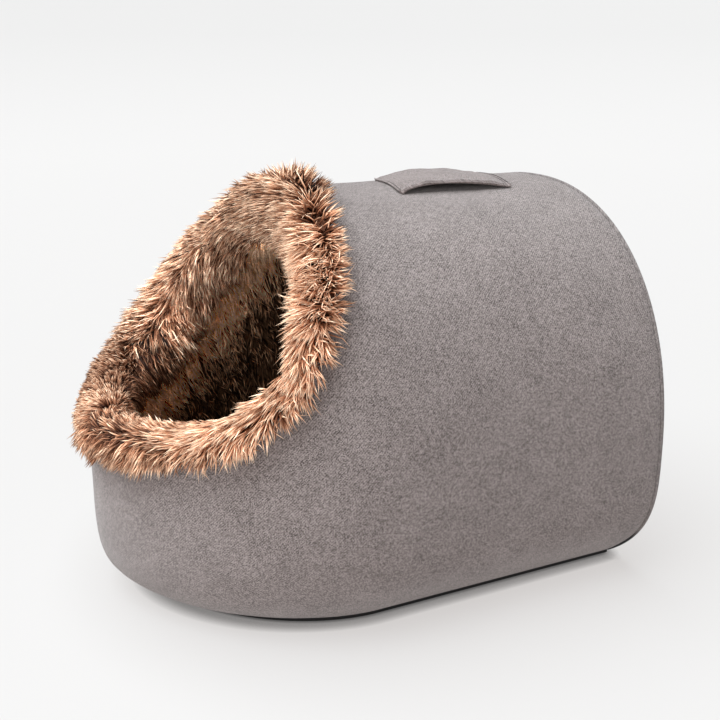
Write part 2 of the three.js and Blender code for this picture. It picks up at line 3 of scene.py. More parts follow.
import bpy
import numpy as np
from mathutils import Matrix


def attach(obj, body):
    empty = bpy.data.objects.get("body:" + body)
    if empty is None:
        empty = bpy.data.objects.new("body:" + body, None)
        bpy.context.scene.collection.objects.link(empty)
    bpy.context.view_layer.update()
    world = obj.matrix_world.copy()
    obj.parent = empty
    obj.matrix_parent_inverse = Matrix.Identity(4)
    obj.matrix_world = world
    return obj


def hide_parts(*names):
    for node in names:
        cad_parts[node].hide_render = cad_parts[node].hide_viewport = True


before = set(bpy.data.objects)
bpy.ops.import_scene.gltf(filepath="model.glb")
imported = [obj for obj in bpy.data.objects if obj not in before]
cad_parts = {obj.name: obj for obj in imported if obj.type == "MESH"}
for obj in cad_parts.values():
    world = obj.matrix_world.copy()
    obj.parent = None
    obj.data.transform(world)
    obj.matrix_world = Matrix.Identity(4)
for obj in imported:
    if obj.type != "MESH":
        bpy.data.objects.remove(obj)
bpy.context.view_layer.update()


# Camera, light and floor. The bed stands on a pale floor that curves up into its own
# backdrop and glows a little, a little less up the backdrop, and its glow is painted
# darker close round the bed as a painted contact shadow. A wide soft lamp stands above
# and a small one before the mouth, and a weak warm light comes from all round.
scene = bpy.context.scene
scene.view_settings.view_transform = "Standard"
CAMERA_PLACE = (0.9791, -0.4715, 0.5313)
CAMERA_AZIMUTH, CAMERA_ELEVATION, CAMERA_LENS = 62.68, 16.23, 52.63
ROOM_LIGHT, ROOM_STRENGTH = (1, 0.87, 0.78, 1), 0.055


def turned(tilt, around):
    """The turn of something that looks down, tipped up and then swung round."""
    return (math.radians(tilt), 0, math.radians(around))


def add_lamp(kind, place, turn, power, colour):
    bpy.ops.object.light_add(type=kind, location=place, rotation=turn)
    lamp = bpy.context.object.data
    lamp.energy, lamp.color = power, colour
    return lamp


bpy.ops.object.select_all(action="DESELECT")
bpy.ops.object.camera_add(
    location=CAMERA_PLACE, rotation=turned(90 - CAMERA_ELEVATION, CAMERA_AZIMUTH)
)
camera = bpy.context.object
camera.data.lens = CAMERA_LENS
camera.data.sensor_width = 36
camera.data.clip_end = 100
scene.camera = camera

world = bpy.data.worlds.new("white_room")
scene.world = world
world.use_nodes = True
room = world.node_tree.nodes["Background"].inputs
room["Color"].default_value, room["Strength"].default_value = ROOM_LIGHT, ROOM_STRENGTH

above = add_lamp("SUN", (0, 0, 3), turned(20, -15), 6.0, (0.90, 0.97, 1.0))
above.angle = math.radians(70)
before = add_lamp("AREA", (0.68, -0.88, 0.55), turned(76, 38), 2.4, (1.0, 0.98, 0.96))
before.shape, before.size = "DISK", 0.5

bpy.ops.mesh.primitive_circle_add(vertices=96, radius=5, fill_type="NGON")
floor = bpy.context.object
floor.name = "pale_floor"
bpy.ops.object.mode_set(mode="EDIT")
FLOOR_BENDS = (
    (0.12, 1.3), (0.28, 1.23), (0.55, 1.25), (0.85, 1.2), (1.4, 1.17), (2.3, 1.14), (3, 1.1),
)
for rise, spread in FLOOR_BENDS:
    bpy.ops.mesh.select_mode(type="FACE")
    bpy.ops.mesh.select_all(action="SELECT")
    bpy.ops.mesh.region_to_loop()
    bpy.ops.mesh.extrude_edges_move(TRANSFORM_OT_translate={"value": (0, 0, rise)})
    bpy.ops.transform.resize(value=(spread, spread, 1))
bpy.ops.object.mode_set(mode="OBJECT")
bpy.ops.object.shade_smooth()


class Dye:
    """A value inside a material that can be reckoned with like a number."""

    def __init__(self, tree, socket=None):
        self.tree = tree
        self.socket = socket

    def node(self, kind, settings, inputs, output=0):
        node = self.tree.nodes.new("ShaderNode" + kind)
        for key, value in settings.items():
            if key == "stops":
                stops = node.color_ramp.elements
                while len(stops) < len(value):
                    stops.new(1)
                for stop, (place, colour) in zip(stops, value):
                    stop.position = place
                    stop.color = (*colour, 1)
            else:
                setattr(node, key, value)
        for key, value in inputs.items():
            if isinstance(value, Dye):
                self.tree.links.new(value.socket, node.inputs[key])
            else:
                node.inputs[key].default_value = value
        return Dye(self.tree, node.outputs[output])

    def place(self):
        """Place in the piece's own metres."""
        return self.node("TexCoord", {}, {}, 3)

    def height(self):
        return self.node("SeparateXYZ", {}, {0: self.place()}, 2)

    def sum(self, operation, *values):
        return self.node("Math", {"operation": operation}, dict(enumerate(values)))

    def __add__(self, other):
        return self.sum("ADD", self, other)

    __radd__ = __add__

    def __sub__(self, other):
        return self.sum("SUBTRACT", self, other)

    def __rsub__(self, other):
        return self.sum("SUBTRACT", other, self)

    def __mul__(self, other):
        return self.sum("MULTIPLY", self, other)

    __rmul__ = __mul__

    def __truediv__(self, other):
        return self.sum("DIVIDE", self, other)

    def clamped(self):
        return self.sum("MINIMUM", self.sum("MAXIMUM", self, 0.0), 1.0)

    def blend(self, first, second):
        """The first colour where this is 0, the second where it is 1."""
        values = [v if isinstance(v, Dye) else (*v, 1) for v in (first, second)]
        inputs = {0: self, 6: values[0], 7: values[1]}
        return self.node("Mix", {"data_type": "RGBA"}, inputs, 2)


def new_finish(name, roughness, sheen, specular):
    """A material with its even values set, its nodes as a Dye and its shader."""
    material = bpy.data.materials.new(name)
    material.use_nodes = True
    shader = material.node_tree.nodes["Principled BSDF"]
    shader.inputs["Roughness"].default_value = roughness
    shader.inputs["Sheen Weight"].default_value = sheen
    shader.inputs["Sheen Roughness"].default_value = 0.5
    shader.inputs["Specular IOR Level"].default_value = specular
    return material, Dye(material.node_tree), shader


def paint(shader, colour, height=None, strength=0.5, depth=0.0004):
    """Gives a finish its colour and, where it has one, its fine relief."""
    colour.tree.links.new(colour.socket, shader.inputs["Base Color"])
    if height is not None:
        relief = {"Strength": strength, "Distance": depth, "Height": height}
        bump = height.node("Bump", {}, relief)
        bump.tree.links.new(bump.socket, shader.inputs["Normal"])


FLOOR_GLOW = ((0.0, (0.598, 0.577, 0.567)), (0.7, (0.546, 0.527, 0.517)))
FLOOR_GREY, FLOOR_PAINTED_SHADOW_REACH = 0.165, 0.014
pale, dye, shader = new_finish("pale_floor", 0.8, 0.0, 0.2)
glow = dye.node("ValToRGB", {"stops": FLOOR_GLOW}, {0: dye.height()})
# The glow is painted darker close round the bed by ambient occlusion: a painted contact shadow.
painted_contact_shadow = {"Color": glow, "Distance": FLOOR_PAINTED_SHADOW_REACH}
glow = dye.node("AmbientOcclusion", {"samples": 8}, painted_contact_shadow)
dye.tree.links.new(glow.socket, shader.inputs["Emission Color"])
shader.inputs["Emission Strength"].default_value = 1
shader.inputs["Base Color"].default_value = (FLOOR_GREY, FLOOR_GREY, FLOOR_GREY, 1)
floor.data.materials.append(pale)


# Outer shell. One wrap of grey woven cloth over a foam wall makes the sides, the roof
# and the rounded nose. Its back edge is tucked into the seam with the welt, its foot
# into the sole's binding and its front edge under the fur collar.
LENGTH, WIDTH, HEIGHT = 0.520, 0.466, 0.401
WIDEST, FOOT_WIDTH = 0.142, 0.310
ROOF_ROUNDNESS, SIDE_ROLL = 2.264, 3.15
NOSE_LENGTH, NOSE_ROUNDNESS, NOSE_ROLL = 0.229, 1.82, 8
MOUTH_TOP_FROM_FRONT, LIP = 0.206, 0.181
MOUTH_STRAIGHTNESS, MOUTH_SCOOP = 0.49, 6.4
WALL = 0.022
SOLE_THICKNESS, SEAM_GAP, SEAM_TUCK, WELT_RADIUS = 0.0047, 0.0003, 0.0016, 0.0023
HALF = WIDTH / 2
BACK_Y = LENGTH / 2
NOSE_START_Y = NOSE_LENGTH - LENGTH / 2
MOUTH_TOP_Y = MOUTH_TOP_FROM_FRONT - LENGTH / 2
SHELL_FOOT = SOLE_THICKNESS + SEAM_GAP
SHELL_END_Y = BACK_Y - 2 * WELT_RADIUS - SEAM_GAP


def half_width(z):
    below = np.clip((WIDEST - z) / WIDEST, 0, None)
    above = np.clip((z - WIDEST) / (HEIGHT - WIDEST), 0, 1)
    low = FOOT_WIDTH / 2 + (HALF - FOOT_WIDTH / 2) * (1 - below**SIDE_ROLL)
    high = HALF * (1 - above**ROOF_ROUNDNESS) ** (1 / ROOF_ROUNDNESS)
    return np.where(z < WIDEST, low, high)


def nose_reach(z):
    below = np.clip((WIDEST - z) / WIDEST, 0, None)
    return NOSE_LENGTH - (HALF - FOOT_WIDTH / 2) * below**NOSE_ROLL


def row_end(z):
    """Turn round the nose at which a row of this height meets the mouth's edge."""
    down = np.clip((HEIGHT - z) / (HEIGHT - LIP), 0, 1)
    slope = MOUTH_STRAIGHTNESS * down + (1 - MOUTH_STRAIGHTNESS) * down**MOUTH_SCOOP
    mouth_y = MOUTH_TOP_Y - MOUTH_TOP_FROM_FRONT * slope
    reach = np.clip((NOSE_START_Y - mouth_y) / nose_reach(z), 0, 1)
    return np.where(z <= LIP, math.pi / 2, np.arcsin(reach ** (NOSE_ROUNDNESS / 2)))


def nose_shares(turn):
    """How far to the side and ahead a turn round the nose lies, each from 0 to 1."""
    return (np.clip(way(turn), 0, 1) ** (2 / NOSE_ROUNDNESS) for way in (np.cos, np.sin))


def skin_point(z, turn):
    """Point of the right half of the cloth, at a height and a turn round the nose."""
    side, ahead = nose_shares(turn)
    return np.stack([half_width(z) * side, NOSE_START_Y - nose_reach(z) * ahead, z], -1)


def skin_normal(z, turn):
    step = 1e-5
    near = np.minimum(z, HEIGHT - 2 * step)
    width, reach = half_width(near), nose_reach(near)
    width_slope = (half_width(near + step) - half_width(near - step)) / (2 * step)
    reach_slope = (nose_reach(near + step) - nose_reach(near - step)) / (2 * step)
    side, ahead = nose_shares(turn)
    power = NOSE_ROUNDNESS
    across = -(side**power) * width_slope - ahead**power * reach_slope * width / reach
    way = [side ** (power - 1), -(width / reach) * ahead ** (power - 1), across]
    return unit(np.stack(way, -1))


def unit(vectors):
    return vectors / np.maximum(np.linalg.norm(vectors, axis=-1, keepdims=True), 1e-12)


def ramp(value, low, high):
    share = np.clip((value - low) / (high - low), 0, 1)
    return share * share * (3 - 2 * share)


def hump(value, middle, width):
    return np.exp(-(((value - middle) / width) ** 2))


def running_lengths(points):
    """Length along a line up to each of its points."""
    return np.append(0, np.cumsum(np.linalg.norm(np.diff(points, axis=0), axis=1)))


def settled(points):
    """The roof's far shoulder, sunk a little where the collar weighs on it."""
    away = (points - SHOULDER) / SHOULDER_SIZE
    return points + SHOULDER_SINK * np.exp(-(away**2).sum(-1))[..., None]


SHOULDER, SHOULDER_SIZE = np.array([-0.115, -0.065, 0.375]), np.array([0.06, 0.075, 0.06])
SHOULDER_SINK = np.array([0.0055, 0, -0.0105])
edge_z = LIP + (HEIGHT - LIP) * (1 - np.cos(np.linspace(0, math.pi, 601))) / 2
edge_points = skin_point(edge_z, row_end(edge_z))
edge_lengths = running_lengths(edge_points)
HALF_MOUTH = edge_lengths[-1]


def mouth_height(share):
    return np.interp(np.asarray(share) * HALF_MOUTH, edge_lengths, edge_z)


def soft_wave(points, size, seed):
    """Smooth unevenness between about -1 and 1, in patches of about this size."""
    rng = np.random.default_rng(seed)
    total = np.zeros(points.shape[:-1])
    for _ in range(7):
        way = unit(rng.normal(size=3)) * rng.uniform(0.7, 1.5) * 2 * math.pi / size
        total += np.sin(points @ way + rng.uniform(0, 2 * math.pi))
    return total / 3.2


YARN, FLECK, PATCH = 0.0007, 0.0009, (0.0031, 0.0024)
CLOTH_LIGHT, CLOTH_DARK = (0.392, 0.33, 0.318), (0.060, 0.046, 0.042)
BLACK, BLACK_EDGE = (0.008, 0.008, 0.008), 70.0
FLAT = {"noise_dimensions": "2D"}


def woven_finish(name, light, dark, black_below=None):
    """Fine twill of light and dark yarn, which reads the cloth's own map in metres."""
    material, dye, shader = new_finish(name, 0.95, 0.25, 0.15)
    place = dye.node("UVMap", {"uv_map": "UVMap"}, {})
    along, across = (
        dye.node("SeparateXYZ", {}, {0: place}, axis) / YARN for axis in (0, 1)
    )
    warp, weft = dye.sum("FLOOR", along), dye.sum("FLOOR", across)
    on_top = dye.sum("LESS_THAN", dye.sum("FLOORED_MODULO", warp + weft, 4.0), 2.0)

    def chance(wide, high):
        """A chance value for each cell of this size."""
        column = dye.sum("FLOOR", along * (YARN / wide))
        row = dye.sum("FLOOR", across * (YARN / high))
        cell = dye.node("CombineXYZ", {}, {0: column, 1: row, 2: 0.0})
        return dye.node("TexWhiteNoise", FLAT, {"Vector": cell})

    fleck, patchy = chance(FLECK, FLECK), chance(*PATCH)
    slub_place = dye.node("CombineXYZ", {}, {0: along * 0.16, 1: weft, 2: 0.0})
    slub = dye.node("TexNoise", FLAT, {"Vector": slub_place, "Scale": 1.0})
    clouds = {"Vector": place, "Scale": 26.0, "Detail": 3.0, "Roughness": 0.6}
    cloud = dye.node("TexNoise", FLAT, clouds)
    lightness = on_top * 0.2 + fleck * 0.74 + (patchy - 0.5) * 0.1
    lightness = lightness + (slub - 0.5) * 0.28 + (cloud - 0.5) * 0.24 + 0.03
    colour = lightness.clamped().blend(dark, light)
    if black_below:
        low = (black_below - dye.height()) * BLACK_EDGE
        colour = low.clamped().blend(colour, BLACK)
    warp_top = 0.5 - dye.sum("ABSOLUTE", along - warp - 0.5)
    weft_top = 0.5 - dye.sum("ABSOLUTE", across - weft - 0.5)
    profile = on_top * warp_top + (1.0 - on_top) * weft_top + fleck * 0.4
    paint(shader, colour, profile, 0.6)
    return material


def take(*pieces):
    """Selects these pieces alone and works on the first."""
    bpy.ops.object.select_all(action="DESELECT")
    for piece in pieces:
        piece.select_set(True)
    if pieces:
        bpy.context.view_layer.objects.active = pieces[0]


def laid_grid(name, columns, rows):
    """A flat grid of cloth, one unit a step, to be drawn over its form."""
    take()
    bpy.ops.mesh.primitive_grid_add(x_subdivisions=columns, y_subdivisions=rows, size=2)
    piece = bpy.context.object
    piece.name = piece.data.name = name
    flat = get_points(piece)
    column = np.rint((flat[:, 0] + 1) / 2 * columns).astype(int)
    row = np.rint((flat[:, 1] + 1) / 2 * rows).astype(int)
    return piece, column, row


def get_points(piece):
    points = np.empty(len(piece.data.vertices) * 3)
    piece.data.vertices.foreach_get("co", points)
    return points.reshape(-1, 3)


def set_points(piece, points):
    piece.data.vertices.foreach_set("co", np.asarray(points, float).ravel())
    piece.data.update()


def get_map(piece):
    spots = np.empty(len(piece.data.loops) * 2)
    piece.data.uv_layers["UVMap"].data.foreach_get("uv", spots)
    return spots.reshape(-1, 2)


def set_map(piece, spots):
    piece.data.uv_layers["UVMap"].data.foreach_set("uv", np.asarray(spots, float).ravel())


def flat_map(piece, first, second, third):
    """Maps the cloth by two of its own coordinates, in metres, each slid by the third."""
    if "UVMap" not in piece.data.uv_layers:
        piece.data.uv_layers.new(name="UVMap")
    corners = np.empty(len(piece.data.loops), int)
    piece.data.loops.foreach_get("vertex_index", corners)
    at = get_points(piece)[corners]
    set_map(piece, at[:, [first, second]] + at[:, [third]])


def closed_seams(piece):
    """Joins points that meet and turns every face outwards."""
    take(piece)
    bpy.ops.object.mode_set(mode="EDIT")
    bpy.ops.mesh.select_all(action="SELECT")
    bpy.ops.mesh.remove_doubles(threshold=1e-5)
    bpy.ops.mesh.dissolve_degenerate(threshold=1e-5)
    bpy.ops.mesh.normals_make_consistent(inside=False)
    bpy.ops.object.mode_set(mode="OBJECT")


def thicken(piece, thickness, offset):
    """Thickens laid cloth, outwards where the offset is 1 and inwards where it is -1."""
    take(piece)
    solid = piece.modifiers.new("thickness", "SOLIDIFY")
    solid.thickness, solid.offset, solid.use_rim = thickness, offset, True
    bpy.ops.object.modifier_apply(modifier=solid.name)


def smooth(piece, degrees=50):
    take(piece)
    bpy.ops.object.shade_smooth_by_angle(angle=math.radians(degrees))


def fit(piece, node, material):
    """Puts a finished piece in the frame, in place of its plain solid."""
    piece.data.materials.clear()
    piece.data.materials.append(material)
    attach(piece, "root")
    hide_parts(node)


SIDE_ROWS, MOUTH_ROWS, STRAIGHT_COLUMNS, NOSE_COLUMNS = 30, 56, 36, 46


def body_grid(name, end_y, coarser=1):
    """Cloth laid round the body: the piece, its grid's lines and each point's place."""
    side_rows, mouth_rows, straight, nose = (
        number // coarser for number in (SIDE_ROWS, MOUTH_ROWS, STRAIGHT_COLUMNS, NOSE_COLUMNS)
    )
    levels = np.append(
        np.linspace(SHELL_FOOT, LIP, side_rows + 1)[:-1],
        mouth_height(np.linspace(0, 1, mouth_rows + 1)),
    )
    turns = np.append(np.zeros(straight), np.linspace(0, math.pi / 2, nose + 1))
    places = np.append(np.linspace(end_y, NOSE_START_Y, straight + 1), np.zeros(nose))
    crest = len(levels) - 1
    piece, column, row = laid_grid(name, len(turns) - 1, 2 * crest)
    z = levels[np.minimum(row, 2 * crest - row)]
    turn = np.minimum(turns[column], row_end(z))
    side = np.where(row > crest, -1.0, 1.0)
    return piece, (levels, turns, places), (column, row, crest), (z, turn, side)


shell, (levels, turns, straight_y), (column, row, crest), (z, turn, side) = body_grid(
    "outer_shell_cloth", SHELL_END_Y
)
points, normals = skin_point(z, turn), skin_normal(z, turn)
points[:, 1] = np.where(column <= STRAIGHT_COLUMNS, straight_y[column], points[:, 1])
points[:, 0] *= side
normals[:, 0] *= side
DENTS = (
    ((0.226, 0.095, 0.215), (0.05, 0.035), -0.0016),
    ((0.215, 0.185, 0.235), (0.045, 0.08), 0.0018),
    ((0.228, 0.140, 0.120), (0.09, 0.05), -0.0012),
    ((0.205, -0.060, 0.200), (0.05, 0.05), -0.0016),
    ((-0.222, 0.060, 0.210), (0.07, 0.05), -0.0018),
    ((-0.226, 0.190, 0.150), (0.05, 0.07), -0.0014),
)
lift = 0.0007 * soft_wave(points, 0.17, 3) + 0.0002 * soft_wave(points, 0.06, 4)
for centre, (size_y, size_z), depth in DENTS:
    away = (points - centre) / (0.12, size_y, size_z)
    lift += depth * np.exp(-(away**2).sum(1))
from_seam = SHELL_END_Y - points[:, 1]
lift += 0.0004 * hump(from_seam, 0.0055, 0.0022)
lift *= ramp(from_seam, 0, 0.02) * ramp(points[:, 2], 0.005, 0.03)
lift -= SEAM_TUCK * (1 - ramp(from_seam, 0, 0.0028))
set_points(shell, settled(points + normals * lift[:, None]))
nose_turns = np.linspace(0, math.pi / 2, 200)
nose_arc = skin_point(np.full(200, WIDEST), nose_turns)
nose_lengths = running_lengths(nose_arc)
straight_length = SHELL_END_Y - NOSE_START_Y
column_length = np.where(
    np.arange(len(turns)) <= STRAIGHT_COLUMNS,
    SHELL_END_Y - straight_y,
    straight_length + np.interp(turns, nose_turns, nose_lengths),
)
row_length = running_lengths(np.stack([half_width(levels), levels], -1))
row_length = np.append(row_length, 2 * row_length[-1] - row_length[-2::-1])
spots = get_map(shell) * (len(turns) - 1, 2 * crest)
spots[:, 0] = np.interp(spots[:, 0], np.arange(len(column_length)), column_length)
spots[:, 1] = np.interp(spots[:, 1], np.arange(len(row_length)), row_length)
set_map(shell, spots)
closed_seams(shell)
thicken(shell, WALL, -1)
smooth(shell)
cloth = woven_finish("woven_cloth", CLOTH_LIGHT, CLOTH_DARK)
fit(shell, "outer_shell", cloth)


# Back panel. The flat end of the cave, a foam slab in the same cloth, sewn to the shell
# all round. It domes a little, and its cloth draws in along the seam.
BACK_CROWN, CROWN_WIDTH, PANEL_ROUND, ROUND_WIDTH = 0.003, 0.09, 0.006, 0.009
BACK_PUCKER, BACK_RIPPLE, PLUG_DEPTH = 0.0007, 0.0008, 0.016
PANEL_INSET = 2 * WELT_RADIUS + 0.0008
INSIDE_END_Y = SHELL_END_Y - PLUG_DEPTH - 0.0003
ARCH_STEPS = 120


def ring_stack(name, rings):
    """A closed form skinned over rings of points that shrink to a spot at both ends."""
    stack = np.array(rings)
    piece, column, row = laid_grid(name, stack.shape[1], len(stack) - 1)
    set_points(piece, stack[row, column % stack.shape[1]])
    return piece


def shrunk(ring, share):
    """The ring drawn in towards its middle by this share."""
    middle = (ring.min(0) + ring.max(0)) / 2
    return ring + (middle - ring) * share


def levelled(normals, z):
    """Directions that turn level towards the foot, where the wall stands on the sole."""
    level = normals.copy()
    level[:, 2] *= ramp(z, SHELL_FOOT, SHELL_FOOT + 0.07)
    return unit(level)


def arch_line(depth, steps=ARCH_STEPS):
    """The arched section from foot to foot, this deep inside the cloth, as x and z."""
    right = np.interp(np.linspace(0, 1, steps + 1), arch_share, arch_z)
    wide = half_width(right)
    level = levelled(skin_normal(right, np.zeros_like(right)), right)
    x, z = wide - level[:, 0] * depth, right - level[:, 2] * depth
    x[-1] = 0
    return np.append(x, -x[-2::-1]), np.append(z, z[-2::-1])


arch_z = HEIGHT - (HEIGHT - SHELL_FOOT) * (1 - np.linspace(0, 1, 500)) ** 2
arch_lengths = running_lengths(np.stack([half_width(arch_z), arch_z], -1))
arch_share = arch_lengths / arch_lengths[-1]
BACK_SHARES = (
    0, 0.002, 0.006, 0.011, 0.018, 0.025, 0.032, 0.05, 0.075, 0.11, 0.16, 0.22, 0.3, 0.4,
    0.55, 0.75, 1,
)


def arch_ring(inset, y, steps=ARCH_STEPS):
    """The arch's outline with its straight foot, at one place along the body."""
    x, z = arch_line(inset, steps)
    foot = np.linspace(x[-1], x[0], 42)[1:-1]
    x, z = np.append(x, foot), np.append(z, np.full(40, z[-1]))
    return np.stack([x, np.full(len(x), y), z], -1)


rim = arch_ring(PANEL_INSET, BACK_Y - 0.0012)
rings = [shrunk(rim, share) for share in BACK_SHARES[::-1]]
plug = arch_ring(WALL + 0.0006, BACK_Y - 0.004)
rings += [rim - (0, 0.0024, 0), plug]
plug = plug - (0, BACK_Y - 0.004 - INSIDE_END_Y - 0.0003, 0)
rings += [shrunk(plug, share) for share in (0, 0.02, 0.3, 1)]
back = ring_stack("back_panel_cloth", rings)
points = get_points(back)
rim_gap = np.array([np.hypot(*(rim - p)[:, [0, 2]].T).min() for p in points])
outside = points[:, 1] > BACK_Y - 0.002
crown = BACK_CROWN * (1 - (1 - np.clip(rim_gap / CROWN_WIDTH, 0, 1)) ** 2.4)
crown += PANEL_ROUND * np.sqrt(1 - (1 - np.clip(rim_gap / ROUND_WIDTH, 0, 1)) ** 2)
pucker = BACK_PUCKER * np.exp(-rim_gap / 0.010) * ramp(rim_gap, 0, 0.003)
pucker = pucker * soft_wave(points, 0.02, 11)
ripple = BACK_RIPPLE * ramp(rim_gap, 0.01, 0.06) * soft_wave(points, 0.11, 12)
fold = crown + 0.001 * np.clip(rim_gap / 0.002, 0, 1) + pucker + ripple
points[:, 1] += np.where(outside, fold, 0)
set_points(back, points)
flat_map(back, 0, 2, 1)
closed_seams(back)
smooth(back)
fit(back, "back_panel", cloth)


# Back welt. A thin cord in a strip of the same cloth, caught in the seam between the
# shell and the back panel, from the sole up over the roof and down again. Round the
# lower corners the sole's black binding runs on over it.
WELT_LIGHT, WELT_DARK, WELT_BLACK_BELOW = (0.33, 0.285, 0.275), (0.07, 0.056, 0.053), 0.05
x, z = arch_line(WELT_RADIUS + 0.00005)
welt_y = SHELL_END_Y + SEAM_GAP + WELT_RADIUS
z[0] = z[-1] = z[0] + 0.0015
line = bpy.data.curves.new("back_welt_cord", "CURVE")
line.dimensions = "3D"
line.bevel_depth = WELT_RADIUS
line.bevel_resolution = 3
line.use_fill_caps = True
path = line.splines.new("POLY")
path.points.add(len(x) - 1)
path.points.foreach_set(
    "co", np.stack([x, np.full(len(x), welt_y), z, np.ones(len(x))], -1).ravel()
)
welt = bpy.data.objects.new("back_welt_cord", line)
scene.collection.objects.link(welt)
take(welt)
bpy.ops.object.convert(target="MESH")
welt = bpy.context.object
flat_map(welt, 1, 2, 0)
closed_seams(welt)
smooth(welt, 60)
welt_finish = woven_finish("welt_cloth", WELT_LIGHT, WELT_DARK, WELT_BLACK_BELOW)
fit(welt, "back_welt", welt_finish)


# Sole. A flat panel of black cloth whose edge is bound, sewn under the shell's foot.
# The binding has a fine seam along its middle.
SOLE_INSET = 0.0012
SOLE_LEVELS = (
    (0.0, 0.0016), (0.0009, 0.0003), (0.0021, 0.0), (0.0024, 0.0004),
    (0.0027, 0.0), (0.0038, 0.0002), (0.0047, 0.0014),
)


def floor_outline(nose, end, level, side_steps, back_steps):
    """A closed outline, level with the floor, from the right half of its nose."""
    side = np.linspace(end, NOSE_START_Y, side_steps + 1)[:-1]
    side = np.stack([np.full(side_steps, nose[0, 0]), side], -1)
    right = np.concatenate([side, nose[:, :2]])
    ring = np.concatenate([right, right[-2::-1] * (-1, 1)])
    back = np.linspace(ring[-1, 0], ring[0, 0], back_steps + 1)[1:-1]
    ring = np.concatenate([ring, np.stack([back, np.full(back_steps - 1, end)], -1)])
    return np.column_stack([ring, np.full(len(ring), level)])


def sole_ring(inset, level):
    foot, around = np.full(41, SHELL_FOOT), np.linspace(0, math.pi / 2, 41)
    nose, way = skin_point(foot, around), skin_normal(foot, around)
    way[:, 2] = 0
    nose -= unit(way) * (SOLE_INSET + inset)
    nose[-1, 0] = 0
    return floor_outline(nose, BACK_Y - SOLE_INSET - inset, level, 24, 20)


rings = [sole_ring(inset, level) for level, inset in SOLE_LEVELS]
rings.insert(0, shrunk(rings[0], 1))
rings.append(shrunk(rings[-1], 1))
sole = ring_stack("sole_cloth", rings)
flat_map(sole, 0, 1, 2)
closed_seams(sole)
smooth(sole, 40)
black, dye, shader = new_finish("black_sole", 0.7, 0.1, 0.3)
grain = dye.node("TexNoise", {}, {"Vector": dye.place(), "Scale": 900.0, "Detail": 2.0})
paint(shader, grain.blend((0.006, 0.006, 0.007), (0.022, 0.021, 0.021)), grain)
fit(sole, "sole", black)


# Carrying strap. A two-ply strip of the same cloth across the roof, sewn on a little
# askew. Its ends are turned under and stitched down, and its middle stands clear. The
# near-black thread, sewn close, is partly the real stitching and partly painted shade
# along the folded ends.
STRAP_START, STRAP_LENGTH, STRAP_SKEW = 0.048, 0.135, 0.2
STRAP_MIDDLE_X, STRAP_HALF, STRAP_THICKNESS = 0.014, 0.046, 0.0026
STRAP_RISE, STRAP_PEAK_SHIFT, STRAP_FULLNESS = 0.0082, 0.66, 0.8
STRAP_SEWN, STRAP_PRESSED, STRAP_CORNERS = 0.005, 0.0014, (0.007, 0.0015)
STRAP_NEAR_X = STRAP_MIDDLE_X + STRAP_HALF
FRONT_FOLD, BACK_FOLD, BACK_SEAM, SEAM_OFFSET = 0.0024, 0.0040, 0.0018, 0.0003
STITCH_LENGTH, STITCH_GAP, THREAD = 0.0027, 0.0005, 0.0006


def roof_height(x):
    rise = (1 - (np.abs(x) / HALF) ** ROOF_ROUNDNESS) ** (1 / ROOF_ROUNDNESS)
    return WIDEST + (HEIGHT - WIDEST) * rise


def strap_y(x, from_start):
    return STRAP_START + from_start + STRAP_SKEW * (STRAP_NEAR_X - x)


def strap_under(x, from_start):
    """Height of the strap's underside."""
    free = np.clip((from_start - STRAP_SEWN) / (STRAP_LENGTH - 2 * STRAP_SEWN), 0, 1)
    bow = np.maximum(np.sin(math.pi * free**STRAP_PEAK_SHIFT), 0) ** STRAP_FULLNESS
    slack = np.maximum(np.sin(math.pi * free**0.95), 0) ** 1.5
    far = (STRAP_NEAR_X - x) / (2 * STRAP_HALF)
    return roof_height(x) + 0.0005 + STRAP_RISE * (bow * (1 - far) + slack * 0.8 * far)


def sewn_down(x, from_end):
    """How far the strap's sewn ends are pressed into the roof, most on the far side."""
    far = ramp(STRAP_MIDDLE_X - x, -0.01, STRAP_HALF)
    return STRAP_PRESSED * far * (1 - ramp(from_end, 0.003, 0.010))


fine_end = np.linspace(0, 0.009, 25)
strap_steps = np.concatenate(
    [fine_end, np.linspace(0.009, STRAP_LENGTH - 0.009, 40)[1:-1], STRAP_LENGTH - fine_end[::-1]]
)
side_steps = np.concatenate([np.linspace(0, 0.006, 13), np.linspace(0.009, 0.046, 14)])
side_steps = np.append(side_steps, 0.092 - side_steps[-2::-1]) / 0.046 - 1
strap, column, row = laid_grid("carry_strap_cloth", len(side_steps) - 1, len(strap_steps) - 1)
from_start = strap_steps[row]
front = from_start < STRAP_LENGTH / 2
from_end = np.minimum(from_start, STRAP_LENGTH - from_start)
radius = np.where(front, *STRAP_CORNERS)
rounding = np.clip(radius - from_end, 0, None)
corner = radius - np.sqrt(np.clip(radius**2 - rounding**2, 0, None))
x = STRAP_MIDDLE_X + side_steps[column] * (STRAP_HALF - corner)
set_points(strap, np.stack([x, strap_y(x, from_start), strap_under(x, from_start)], -1))
thicken(strap, STRAP_THICKNESS, 1)
closed_seams(strap)
points = get_points(strap)
x = points[:, 0]
from_start = points[:, 1] - strap_y(x, 0)
top = points[:, 2] - strap_under(x, from_start) > STRAP_THICKNESS / 2
from_end = np.minimum(from_start, STRAP_LENGTH - from_start)
from_side = STRAP_HALF - np.abs(x - STRAP_MIDDLE_X)
front = from_start < STRAP_LENGTH / 2
fold_width = np.where(front, FRONT_FOLD, BACK_FOLD)
fold = ramp(from_end, -0.001, 0.0012)
fold *= 1 - ramp(from_end, fold_width - 0.001, fold_width)
lift = np.where(front, 0.0007, 0.0006) * fold
lift -= np.where(front, 0.0005, 0.0010) * hump(from_end, fold_width + SEAM_OFFSET, 0.0006)
lift -= np.where(front, 0, 0.0006 * hump(from_end, BACK_SEAM, 0.0005))
